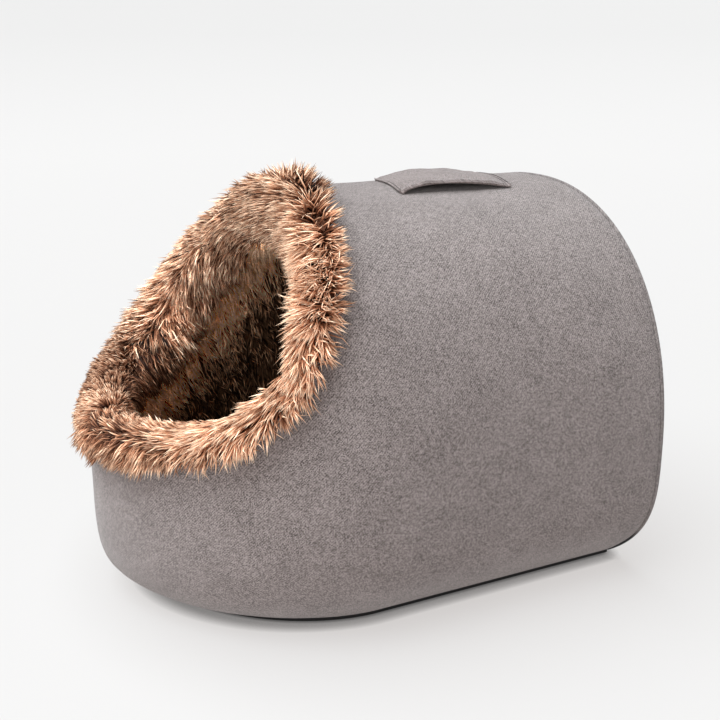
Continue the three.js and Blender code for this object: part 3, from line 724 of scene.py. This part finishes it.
lift += 0.0006 * ramp(from_side, 0, 0.0015) * (1 - ramp(from_side, 0.0025, 0.004))
lift -= 0.0012 * (1 - ramp(from_side, 0, 0.0016))
lift -= 0.0007 * (1 - ramp(from_end, 0, 0.001))
free = ramp(from_end, 0.008, 0.025)
lift += free * (0.0007 * soft_wave(points, 0.045, 21) + 0.0003 * soft_wave(points, 0.02, 22))
points[:, 2] += np.where(top, lift, 0)
points[:, 2] -= sewn_down(x, from_end)
tuck = 0.0014 * (1 - ramp(from_end, 0, 0.004))
points[:, 1] += np.where(top, 0, np.where(front, tuck, -tuck))
set_points(strap, points)
flat_map(strap, 0, 1, 2)
smooth(strap, 60)
STRAP_LIGHT, STRAP_DARK = (0.395, 0.325, 0.312), (0.064, 0.047, 0.043)
fit(strap, "carry_strap", woven_finish("strap_cloth", STRAP_LIGHT, STRAP_DARK))

take()
bpy.ops.mesh.primitive_uv_sphere_add(segments=8, ring_count=6, radius=1)
stitch = bpy.context.object
stitch.name = "strap_stitches"
unit_stitch = get_points(stitch)
unit_stitch[:, 0] = np.sign(unit_stitch[:, 0]) * np.abs(unit_stitch[:, 0]) ** 0.5
unit_stitch *= (STITCH_LENGTH / 2, THREAD, THREAD)
copies = []
pitch = STITCH_LENGTH + STITCH_GAP
number = int((2 * STRAP_HALF - 2 * STRAP_SEWN) / pitch)
seams = FRONT_FOLD + SEAM_OFFSET, STRAP_LENGTH - BACK_FOLD - SEAM_OFFSET, STRAP_LENGTH - BACK_SEAM
for from_start in seams:
    for k in range(number):
        x = STRAP_MIDDLE_X + (k - (number - 1) / 2) * pitch
        rise = float(roof_height(x + 0.001) - roof_height(x - 0.001)) / 0.002
        along_seam = unit(np.array([1, -STRAP_SKEW, rise]))
        across_seam = unit(np.cross((0, 0, 1), along_seam))
        axes = np.stack([along_seam, across_seam, np.cross(along_seam, across_seam)])
        y = float(strap_y(x, from_start))
        _, spot, _, _ = strap.ray_cast((x, y, 0.5), (0, 0, -1))
        take(stitch)
        bpy.ops.object.duplicate(linked=False)
        copy = bpy.context.object
        set_points(copy, unit_stitch @ axes + (x, y, spot.z + THREAD * 0.5))
        copies.append(copy)
bpy.data.objects.remove(stitch)
take(*copies)
bpy.ops.object.join()
stitches = bpy.context.object
stitches.name = stitches.data.name = "strap_stitches"
smooth(stitches, 80)
# Near-black, close-set stitches: real thread, and also painted shade along the fold lines.
thread_and_painted_fold_shade, dye, shader = new_finish("near_black_thread_and_fold_shade", 0.8, 0.1, 0.0)
twist = dye.node("TexNoise", {}, {"Vector": dye.place(), "Scale": 2500.0})
paint(shader, twist.blend((0.008, 0.007, 0.006), (0.024, 0.02, 0.019)))
fit(stitches, "carry_strap", thread_and_painted_fold_shade)


# Fur collar. A strip of long-pile fur cloth folded over the mouth's edge and sewn
# through. The backing is dark, and the pile is dark brown at its roots and pale at its
# tips, parts along the ridge and gathers into locks that fall towards the lip. Its locks
# are painted darker on the crest, along the lip and at the far lower corner, and lighter
# down the sides, as painted shade and light.
LINING = 0.009
STRIP_LEG, STRIP_REACH, STRIP_OUTER, STRIP_INNER = 0.008, 0.0085, 0.0006, 0.0034
STRIP_THICKNESS = 0.0045
STRIP_MIDDLE = -(WALL + LINING) / 2
rng = np.random.default_rng(4)


def mouth_point(share):
    z = mouth_height(share)
    return skin_point(z, row_end(z))


def ring_frame(share):
    """Place and directions round the mouth's edge: 0 and 1 at the lip, 0.5 on top."""
    share = np.mod(share, 1)
    side = np.where(share <= 0.5, 1.0, -1.0)
    half = np.clip(1 - np.abs(1 - 2 * share), 0, 1)
    z = mouth_height(half)
    turn = row_end(z)
    point, outward = skin_point(z, turn), skin_normal(z, turn)
    along = mouth_point(np.minimum(half + 0.004, 1)) - mouth_point(np.maximum(half - 0.004, 0))
    lip, top = half < 1e-6, half > 1 - 1e-6
    for way in (point, outward):
        way[lip | top, 0] = 0
    along[lip] = (1, 0, 0)
    along[top] = (-1, 0, 0)
    outward = unit(outward)
    along = unit(along - outward * (along * outward).sum(1, keepdims=True))
    ahead = unit(np.cross(outward, along))
    backward = (ahead[:, 1] > 0) & (ahead[:, 2] <= 0.5)
    ahead[backward] *= -1
    for way in (point, outward, along, ahead):
        way[:, 0] *= side
    return point, outward, along, ahead, half


def strip_section(part, thickness):
    """Place on the folded strip's section: 0 to 1 the outer leg, 5 to 6 the inner."""
    outer = -STRIP_MIDDLE + STRIP_OUTER + thickness
    inner = -STRIP_MIDDLE + STRIP_INNER + thickness
    angle = np.clip(part - 1, 0, 4) * math.pi / 4
    half = outer + (inner - outer) * ramp(angle, 0.6, 2.5)
    outward = STRIP_MIDDLE + half * np.cos(angle)
    leg = np.where(part < 1, part - 1, np.where(part > 5, 5 - part, 0)) * STRIP_LEG
    return outward, (STRIP_REACH + thickness) * np.sin(angle) + leg, angle


def strip_point(share, part, thickness):
    point, outward, along, ahead, half = ring_frame(share)
    out, forth, angle = strip_section(part, thickness)
    place = point + outward * out[:, None] + ahead * forth[:, None]
    normal = outward * np.cos(angle)[:, None] + ahead * np.sin(angle)[:, None]
    cross = ahead * np.cos(angle)[:, None] - outward * np.sin(angle)[:, None]
    return place, normal, cross, along, half, angle


RING_STEPS, SECTION_STEPS = 160, 18
rows = 2 * SECTION_STEPS + 2
backing, column, row = laid_grid("fur_collar_backing", RING_STEPS, rows)
row %= rows
outside = row <= SECTION_STEPS
part = np.where(outside, row, rows - 1 - row) / SECTION_STEPS * 6
faces = [strip_point(column / RING_STEPS, part, depth)[0] for depth in (STRIP_THICKNESS, 0.0)]
set_points(backing, settled(np.where(outside[:, None], *faces)))
closed_seams(backing)
smooth(backing, 60)


def pile_finish(name, stops, tone_spread):
    """Pile whose colour runs from root to tip and varies from hair to hair and from lock to lock;
    the lock tone also carries painted light and shade.
    """
    material, dye, shader = new_finish(name, 0.55, 0.0, 0.15)
    marks = dye.node("Attribute", {"attribute_name": "pile"}, {})
    split = dye.node("SeparateColor", {}, {0: marks}).socket.node
    along, hair, lock = (Dye(dye.tree, channel) for channel in split.outputs)
    place = along * 0.9 + (hair - 0.5) * 0.4 + (lock - 0.5) * 0.3 + 0.03
    run = dye.node("ValToRGB", {"stops": stops}, {0: place})
    shade = 1.0 + (hair - 0.5) * tone_spread + (lock - 0.5) * tone_spread
    tint = dye.node("CombineXYZ", {}, {0: shade, 1: shade, 2: shade})
    colour = dye.node("VectorMath", {"operation": "MULTIPLY"}, {0: run, 1: tint})
    paint(shader, colour)
    return material


def grow_pile(name, hairs, rings):
    """One mesh of closed, tapering, three-sided hairs from arrays of their facts."""
    root, hub, start, end = (hairs[key][:, None] for key in ("root", "hub", "start", "end"))
    length, width, gather, curl, phase, waves = (
        hairs[key][:, None, None]
        for key in ("length", "width", "gather", "curl", "phase", "wave_turns")
    )
    f = np.array(rings)[None, :, None]
    bend = f * f - f**3 / 3
    line = root + length * (start * (f - bend) + end * bend)
    line -= (root - hub) * gather * f**1.4
    aside = unit(np.cross(start, end + 1e-4))
    line += aside * np.sin(f * waves + phase) * length * curl * f
    tangent = unit(np.gradient(line, axis=1))
    side = unit(np.cross(tangent, np.broadcast_to(aside + 0.01, tangent.shape)))
    up = np.cross(tangent, side)
    taper = np.interp(rings, (0, 0.3, 0.6, 0.85, 1), (0.85, 1, 0.85, 0.5, 0))
    size = width / 2 * taper[None, :, None]
    n, k = len(root), len(rings) - 1
    angles = [phase + corner * 2 * math.pi / 3 for corner in range(3)]
    corners = [line + size * (np.cos(angle) * side + np.sin(angle) * up) for angle in angles]
    body = np.stack(corners, 2)[:, :k].reshape(n, k * 3, 3)
    points = np.concatenate([body, line[:, -1:]], 1)
    sides, last = ((0, 1), (1, 2), (2, 0)), 3 * (k - 1)
    faces = [(r + a, r + b, r + 3 + b, r + 3 + a) for r in range(0, last, 3) for a, b in sides]
    faces += [(last + a, last + b, 3 * k) for a, b in sides] + [(2, 1, 0)]
    loops = np.concatenate(faces)
    sizes = [len(face) for face in faces]
    all_loops = (loops[None] + np.arange(n)[:, None] * (3 * k + 1)).ravel()
    starts = np.append(0, np.cumsum(np.tile(sizes, n)))[:-1]
    mesh = bpy.data.meshes.new(name)
    mesh.vertices.add(n * (3 * k + 1))
    mesh.vertices.foreach_set("co", points.ravel())
    mesh.loops.add(len(all_loops))
    mesh.loops.foreach_set("vertex_index", all_loops)
    mesh.polygons.add(len(starts))
    mesh.polygons.foreach_set("loop_start", starts)
    mesh.polygons.foreach_set("use_smooth", np.ones(len(starts), bool))
    mesh.update(calc_edges=True)
    mesh.validate()
    marks = np.ones((n, 3 * k + 1, 4))
    marks[..., 0] = np.append(np.repeat(rings[:k], 3), 1.0)
    marks[..., 1] = hairs["tone"][:, None]
    marks[..., 2] = hairs["lock_tone_and_painted_light"][:, None]
    layer = mesh.attributes.new("pile", "FLOAT_COLOR", "POINT")
    layer.data.foreach_set("color", marks.ravel())
    piece = bpy.data.objects.new(name, mesh)
    scene.collection.objects.link(piece)
    return piece


def hair_facts(count, locks, length, width):
    """The chance parts of each hair, and of the lock that it belongs to."""
    lock = rng.integers(0, locks, count)
    return lock, {
        "length": length * rng.uniform(0.82, 1.1, locks)[lock] * rng.uniform(0.8, 1.05, count),
        "width": width * rng.uniform(0.75, 1.25, count),
        "gather": rng.uniform(0.25, 0.8, locks)[lock],
        "phase": rng.uniform(0, 2 * math.pi, count),
        "wave_turns": rng.uniform(2, 6, count),
        "curl": np.full(count, CURL),
        "tone": rng.uniform(0, 1, count),
        "lock_tone_and_painted_light": rng.uniform(0, 1, locks)[lock],
    }


section_parts = np.linspace(0.05, 5.95, 400)
out, forth, _ = strip_section(section_parts, STRIP_THICKNESS)
section_lengths = running_lengths(np.stack([out, forth], -1))
SECTION_LENGTH = section_lengths[-1]


def section_part(share):
    return np.interp(np.clip(share, 0, 1) * SECTION_LENGTH, section_lengths, section_parts)


COLLAR_PIECES, COLLAR_HAIRS, COLLAR_LOCKS = 4, 9000, 1000
COLLAR_LENGTH, HAIR_WIDTH, HAIR_RINGS, DARKEST = 0.031, 0.0017, (0, 0.35, 0.7, 1), -0.35
CURL, STRONG_CURL = 0.035, 0.13
DOWN, FORWARD = np.array([0.0, 0.0, -1.0]), np.array([0.0, -1.0, 0.0])
SIDEWAYS = np.array([-1.0, 0.0, 0.0])
LONG_FUR = (
    (0.0, (0.05, 0.015, 0.007)), (0.25, (0.18, 0.06, 0.028)), (0.5, (0.49, 0.215, 0.115)),
    (0.75, (0.78, 0.46, 0.295)), (1.0, (0.96, 0.70, 0.51)),
)
collar_pile = pile_finish("long_fur", LONG_FUR, 0.5)


def comb(where, *shares):
    """A lie mixed from its directions, for the hairs that this share of them takes."""
    return sum(way * share for share, way in shares) * where[:, None]


for piece_number in range(COLLAR_PIECES):
    lock, hairs = hair_facts(COLLAR_HAIRS, COLLAR_LOCKS, COLLAR_LENGTH, HAIR_WIDTH)
    lock_ring = (piece_number + rng.uniform(0, 1, COLLAR_LOCKS)) / COLLAR_PIECES
    lock_section = rng.uniform(0, 1, COLLAR_LOCKS)
    ring = lock_ring[lock] + rng.normal(0, 0.0022, COLLAR_HAIRS) / (2 * HALF_MOUTH)
    section = lock_section[lock] + rng.normal(0, 0.0022, COLLAR_HAIRS) / SECTION_LENGTH
    section = np.abs(section)
    section = 1 - np.abs(1 - section)
    place, normal, cross, along, half, angle = strip_point(
        ring, section_part(section), STRIP_THICKNESS - 0.001
    )
    hub = strip_point(lock_ring, section_part(lock_section), STRIP_THICKNESS - 0.001)[0][lock]
    near = ramp(place[:, 0], -0.03, 0.03)
    lip = 1 - ramp(half, 0.15, 0.42)
    top = ramp(half, 0.70, 0.92)
    limb = (1 - lip) * (1 - top)
    far = 1 - near
    parting = lip * (0.22 * near + 0.74 * far) + 0.12 * top + limb * (0.07 * near + 0.52 * far)
    chance = rng.normal(0, 0.06, COLLAR_LOCKS)[lock] + rng.normal(0, 0.03, COLLAR_HAIRS)
    parting = parting + 0.05 * soft_wave(place, 0.09, 31) + chance
    blur = 0.05 + 0.05 * limb * near
    inner = ramp(section, parting - blur, parting + blur)
    ridge = hump(section, parting, 0.1)
    outer = 1 - inner
    low = 1 - ramp(half, 0.50, 0.66)
    deep = ramp(section, 0.25, 0.45)
    corner = far * ramp(half, 0.06, 0.2) * (1 - ramp(half, 0.3, 0.46))
    foot = near * ramp(half, 0.2, 0.4) * (1 - ramp(half, 0.6, 0.75))
    bend = near * ramp(half, 0.2, 0.32) * (1 - ramp(half, 0.5, 0.62))
    hem = (1 - ramp(section, 0.02, 0.13)) * (top * (0.4 + 0.6 * far) + limb * far)
    lies = (
        (lip * near * outer, (0.45, normal), (0.9, DOWN), (-0.15, along)),
        (lip * near * inner, (0.05, normal), (0.25, cross), (-0.9, along)),
        (lip * far * outer, (0.6, normal), (0.35, DOWN), (-0.4, cross), (0.2, along)),
        (lip * far * inner, (0.4, normal), (0.6, DOWN), (0.3, cross)),
        (top * outer, (1.0, normal), (-0.4, cross)),
        (top * outer * near, (-0.45, cross), (-0.2, normal)),
        (top * inner, (0.9, FORWARD), (0.3, cross), (0.2, normal), (0.25, SIDEWAYS)),
        (limb * near * outer, (0.6, normal), (-0.8, cross), (0.3, DOWN)),
        (limb * near * inner, (0.72, FORWARD), (-0.59, along), (0.15, normal)),
        (limb * far * outer, (0.6, FORWARD), (-0.7, along), (0.05, normal)),
        (limb * far * outer * low, (0.3, normal)),
        (limb * far * inner, (0.85, DOWN), (0.25, cross), (0.15, normal), (-0.15, along)),
        (bend * inner, (-0.45, cross), (-0.15, normal)),
        (hem, (-0.6, cross), (-0.3, normal)),
    )
    lie = sum(comb(*row) for row in lies)
    swirl = np.stack([soft_wave(place, 0.06, seed) for seed in (41, 42, 43)], -1) * 0.2
    curled = rng.uniform(0, 1, COLLAR_HAIRS) < 0.04 + 0.3 * limb * near * outer
    curled &= (bend * inner < 0.3) & (lip * inner < 0.3)
    stray = np.where(curled, 0.5, 0.08)[:, None]
    jitter = rng.normal(0, 1, (COLLAR_LOCKS, 3))[lock] * 0.14
    jitter = jitter + rng.normal(0, 1, (COLLAR_HAIRS, 3)) * stray
    end = unit(unit(lie) + swirl + jitter)
    upright = 0.8 - 0.4 * deep * (lip * near + 0.5 * limb * near)
    upright = upright - 0.35 * bend * inner - 0.45 * hem
    start = unit(normal * upright[:, None] + end * 0.7 + jitter * 0.3)
    near_limb = limb * near * (inner * (0.2 - 0.48 * deep) - 0.45 * outer)
    near_limb += foot * (0.38 * outer - 0.22 * inner * deep) - 0.2 * bend * inner
    near_lip = -0.1 * lip - 0.25 * lip * near * inner * deep - 0.3 * lip * far
    far_limb = limb * far * (0.35 * inner - 0.25 * (1 - low) * outer)
    ridge_top = top * (outer * (0.2 * near - 0.4 * far - 0.3) - 0.05 * inner)
    far_corner = 0.2 * corner * (inner - outer)
    far_corner -= 0.15 * far * outer * (1 - ramp(half, 0.08, 0.2))
    change = near_limb + near_lip + far_limb + ridge_top + far_corner + 0.1 * hem
    hairs["length"] *= 1 + change
    hairs["curl"] = np.where(curled, STRONG_CURL, CURL)
    bold = 1 + 0.7 * (limb * far + top)
    for tone in ("tone", "lock_tone_and_painted_light"):
        hairs[tone] = 0.5 + (hairs[tone] - 0.5) * bold
    # Painted shade and light: locks are darkened on the crest, the lip and the far corner, and
    # lightened down the sides, to stand for how the light falls on the fur.
    shade_painted_hairs = rng.uniform(0, 1, COLLAR_HAIRS) < 0.65 * corner + 0.25 * top + 0.12 * limb * far
    painted_light = limb * (0.25 * far + 0.14 * near) + 0.1 * foot
    painted_shade = lip * (0.1 + 0.4 * ridge) + 0.6 * corner + 0.42 * top + 0.75 * shade_painted_hairs
    hairs["lock_tone_and_painted_light"] = np.maximum(hairs["lock_tone_and_painted_light"] + painted_light - painted_shade, DARKEST)
    hairs["gather"] *= 0.75 - 0.25 * limb * near * outer
    hairs.update(root=settled(place), hub=settled(hub), start=start, end=end)
    pile = grow_pile(f"fur_collar_pile_{piece_number + 1}", hairs, HAIR_RINGS)
    fit(pile, "fur_collar", collar_pile)


def backing_finish(name, dark, light, squash):
    """Cloth under the pile, with short undercoat drawn out along the way it lies."""
    material, dye, shader = new_finish(name, 0.95, 0.0, 0.1)
    place = dye.node("VectorMath", {"operation": "MULTIPLY"}, {0: dye.place(), 1: squash})
    down = dye.node("TexNoise", {}, {"Vector": place, "Scale": 480.0, "Detail": 2.0})
    down = dye.sum("MULTIPLY_ADD", down, 2.4, -0.7).clamped()
    paint(shader, down.blend(dark, light), down, 1.0, 0.002)
    return material


skin = backing_finish("fur_backing", (0.06, 0.02, 0.01), (0.22, 0.09, 0.05), (1.0, 1.0, 1.0))
fit(backing, "fur_collar", skin)


# Fur lining. The inside of the walls and roof is faced with fur cloth of a shorter,
# browner pile that lies downwards and in towards the floor. Its pile is painted lighter
# near the mouth and darker deeper in, as painted light and shade.
LINING_START = WALL + 0.0004


def wall_inside(z, turn, y, side, depth):
    """Points and inward directions on the wall's inside, at a depth from the cloth."""
    point, normal = skin_point(z, turn), skin_normal(z, turn)
    point[:, 1] = np.where(turn <= 0, y, point[:, 1])
    level = levelled(normal, z)
    slant = np.minimum(1 / np.maximum((level * normal).sum(1), 1e-3), 1.4)
    point -= level * (depth * slant)[:, None]
    inward = -normal
    for way in (point, inward):
        way[:, 0] *= side
    return point, inward


lining, (_, turns, inside_y), (column, row, crest), (z, turn, side) = body_grid(
    "fur_lining_cloth", INSIDE_END_Y, 2
)
points, _ = wall_inside(z, turn, inside_y[column], side, LINING_START)
points[row == crest, 0] = 0
points[(column == len(turns) - 1) & (z <= LIP + 1e-9), 0] = 0
set_points(lining, settled(points))
closed_seams(lining)
thicken(lining, LINING, -1)
smooth(lining, 60)
short_skin = backing_finish(
    "short_fur_backing", (0.022, 0.011, 0.006), (0.23, 0.13, 0.072), (1.0, 1.0, 0.16)
)
fit(lining, "fur_lining", short_skin)

LINING_HAIRS, LINING_LOCKS, LINING_PILE, LINING_HAIR_WIDTH = 19000, 3800, 0.02, 0.0018
SHORT_RINGS = (0, 0.5, 1)
mouth_spots = mouth_point(np.linspace(0, 1, 40))
tries = 120000
z = np.interp(rng.uniform(0, 1, tries), arch_share, arch_z)
walk = rng.uniform(0, straight_length + nose_lengths[-1], tries)
y = INSIDE_END_Y - walk
turn = np.interp(walk - straight_length, nose_lengths, nose_turns)
turn = np.where(walk <= straight_length, 0, turn)
outer = skin_point(z, turn)
outer[:, 1] = np.where(turn <= 0, y, outer[:, 1])
gap = np.min([np.linalg.norm(outer - spot, axis=1) for spot in mouth_spots], axis=0)
keep = (turn <= row_end(z) - 0.02) & (z > 0.05)
high = 0.55 + 0.45 * ramp(z, 0.2, 0.3)
keep &= rng.uniform(0, 1, tries) < 0.05 + 0.95 * high * hump(gap, 0, 0.2)
z, turn, y, gap = (values[keep][:LINING_LOCKS] for values in (z, turn, y, gap))
locks = len(z)
side = np.where(rng.uniform(0, 1, locks) < 0.62, -1.0, 1.0)
lock, hairs = hair_facts(LINING_HAIRS, locks, LINING_PILE, LINING_HAIR_WIDTH)
hub, inward = wall_inside(z, turn, y, side, LINING_START + LINING - 0.001)
hub = settled(hub)
spread = 0.003 + 0.004 * ramp(gap, 0.02, 0.2)
spread_out = rng.normal(0, 1, (LINING_HAIRS, 3)) * spread[lock][:, None]
normal = inward[lock]
spread_out -= normal * (spread_out * normal).sum(1, keepdims=True)
jitter = rng.normal(0, 1, (locks, 3))[lock] * 0.25 + rng.normal(0, 1, (LINING_HAIRS, 3)) * 0.12
hairs.update(
    root=hub[lock] + spread_out,
    hub=hub[lock],
    start=unit(normal * 0.9 + DOWN * 0.3 + jitter * 0.5),
    end=unit(normal * 0.4 + DOWN * 0.9 + np.array([0, 0.2, 0]) + jitter),
)
deep = ramp(gap, 0.12, 0.2)
hairs["length"] *= (1.6 - 0.85 * ramp(gap, 0.02, 0.14) + 0.25 * deep)[lock]
hairs["width"] *= (1.15 - 0.3 * ramp(gap, 0.02, 0.14) + 0.3 * deep)[lock]
# Painted light and shade: locks near the mouth are lightened, and those deeper in are darkened.
hairs["lock_tone_and_painted_light"] += (1.4 - 1.9 * ramp(gap, 0.03, 0.16))[lock]
SHORT_FUR = (
    (0.0, (0.025, 0.010, 0.005)), (0.3, (0.22, 0.10, 0.05)), (0.6, (0.78, 0.46, 0.27)),
    (1.0, (1.0, 0.76, 0.54)),
)
short_pile = pile_finish("short_fur", SHORT_FUR, 0.9)
lining_hairs = grow_pile("fur_lining_pile", hairs, SHORT_RINGS)
fit(lining_hairs, "fur_lining", short_pile)


# Back fur. The same short fur on the inside of the back panel, cut to the cabin's arch.
# It faces the mouth, and its pile hangs towards the pad.
INSIDE_DEPTH = WALL + LINING + 0.0056
rim = arch_ring(INSIDE_DEPTH, INSIDE_END_Y - 0.0003, 60)
near = rim - (0, LINING, 0)
shares = (0, 0.04, 0.1, 0.18, 0.28, 0.4, 0.55, 0.75, 1)
rings = [shrunk(near, share) for share in shares[::-1]]
rings += [shrunk(rim, share) for share in (0, 0.5, 1)]
back_fur = ring_stack("fur_back_cloth", rings)
points = get_points(back_fur)
front = points[:, 1] < INSIDE_END_Y - LINING / 2
points[:, 1] += np.where(front, 0.0015 * soft_wave(points, 0.03, 51), 0)
set_points(back_fur, points)
closed_seams(back_fur)
smooth(back_fur, 60)
fit(back_fur, "fur_back", short_skin)
BACK_HAIRS, BACK_LOCKS, BACK_PILE, BACK_HAIR_WIDTH = 3000, 600, 0.013, 0.0020
lock, hairs = hair_facts(BACK_HAIRS, BACK_LOCKS, BACK_PILE, BACK_HAIR_WIDTH)
z = rng.uniform(0.05, 0.35, BACK_LOCKS)
x = rng.uniform(-1, 1, BACK_LOCKS) * (half_width(z) - INSIDE_DEPTH - 0.004)
hub = np.stack([x, np.full(BACK_LOCKS, INSIDE_END_Y - LINING + 0.001), z], -1)
spread_out = rng.normal(0, 0.007, (BACK_HAIRS, 3)) * (1, 0, 1)
jitter = rng.normal(0, 1, (BACK_LOCKS, 3))[lock] * 0.3
hairs.update(
    root=hub[lock] + spread_out,
    hub=hub[lock] + spread_out * 0.4,
    start=unit(np.array([0, -1, -0.3]) + jitter * 0.5),
    end=unit(np.array([0, -0.4, -0.9]) + jitter),
)
back_hairs = grow_pile("fur_back_pile", hairs, SHORT_RINGS)
fit(back_hairs, "fur_back", short_pile)


# Floor pad. A low cushion in short fur that fills the cave's floor, crowned and a little
# lumpy where it has been lain on. Its fur and backing are coloured far darker than the
# lining's: painted shade for the floor of the cave.
PAD_RISE, PAD_CROWN, PAD_EDGE, PAD_LUMPS = 0.03, 0.009, 0.014, 0.002
PAD_WIDEST = 0.024
PAD_BACK_Y = SHELL_END_Y - PLUG_DEPTH - LINING - 0.0096


def pad_ring(inset, level):
    """The pad's outline in plan, inside the lining."""
    at, around = np.full(25, PAD_WIDEST), np.linspace(0, math.pi / 2, 25)
    nose, _ = wall_inside(at, around, NOSE_START_Y, 1.0, INSIDE_DEPTH + inset)
    nose[0, 1], nose[-1, 0] = NOSE_START_Y, 0
    return floor_outline(nose, PAD_BACK_Y - inset, level, 16, 16)


ring = pad_ring(0, SHELL_FOOT + 0.012)
shares = (0.004, 0.012, 0.025, 0.045, 0.07, 0.1, 0.16, 0.25, 0.36, 0.5, 0.65, 0.82, 1)
rings = [shrunk(ring, share) for share in shares[::-1]]
foot = pad_ring(0.003, SHELL_FOOT + 0.003)
rings += [ring, foot]
rings += [shrunk(foot, share) - (0, 0, 0.003) for share in (0.02, 0.5, 1)]
pad = ring_stack("floor_pad_fur", rings)
points = get_points(pad)
rim_gap = np.array([np.hypot(*(ring[:, :2] - p[:2]).T).min() for p in points])
arch = (1 - (1 - np.clip(rim_gap / PAD_EDGE, 0, 1)) ** 2) ** 0.5
top_z = PAD_RISE * arch + PAD_CROWN * ramp(rim_gap, 0.01, 0.13)
top_z += PAD_LUMPS * ramp(rim_gap, 0, 0.02) * soft_wave(points, 0.08, 61)
upper = np.abs(points[:, 2] - ring[0, 2]) < 1e-6
points[:, 2] += np.where(upper, top_z, 0)
set_points(pad, points)
closed_seams(pad)
smooth(pad, 70)
# Backing coloured far darker than the lining's: painted shade at the cave's floor.
pad_skin = backing_finish(
    "pad_fur_backing", (0.012, 0.006, 0.003), (0.13, 0.07, 0.042), (1.0, 0.3, 1.0)
)
fit(pad, "floor_pad", pad_skin)
PAD_HAIRS, PAD_LOCKS, PAD_PILE, PAD_HAIR_WIDTH = 8000, 1600, 0.014, 0.0019
lock, hairs = hair_facts(PAD_HAIRS, PAD_LOCKS, PAD_PILE, PAD_HAIR_WIDTH)
hub = []
while len(hub) < PAD_LOCKS:
    x, y = rng.uniform(-0.15, 0.15), rng.uniform(-0.19, 0.215)
    hit, spot, _, _ = pad.ray_cast((x, y, 0.3), (0, 0, -1))
    if hit and spot.z > 0.03:
        hub.append(tuple(spot))
hub = np.array(hub)
spread_out = rng.normal(0, 0.007, (PAD_HAIRS, 3)) * (1, 1, 0)
jitter = rng.normal(0, 1, (PAD_LOCKS, 3))[lock] * 0.4
hairs.update(
    root=hub[lock] + spread_out - (0, 0, 0.001),
    hub=hub[lock] + spread_out * 0.7,
    start=unit(np.array([0, -0.2, 0.8]) + jitter * 0.5),
    end=unit(np.array([0, -0.8, 0.35]) + jitter),
)
# Pile coloured far darker than the lining's: painted shade at the cave's floor.
PAD_FUR_IN_PAINTED_SHADE = (0.0, (0.02, 0.009, 0.005)), (0.4, (0.08, 0.04, 0.022)), (1.0, (0.30, 0.19, 0.125))
pad_pile = pile_finish("pad_fur", PAD_FUR_IN_PAINTED_SHADE, 0.5)
pad_hairs = grow_pile("floor_pad_pile", hairs, SHORT_RINGS)
fit(pad_hairs, "floor_pad", pad_pile)
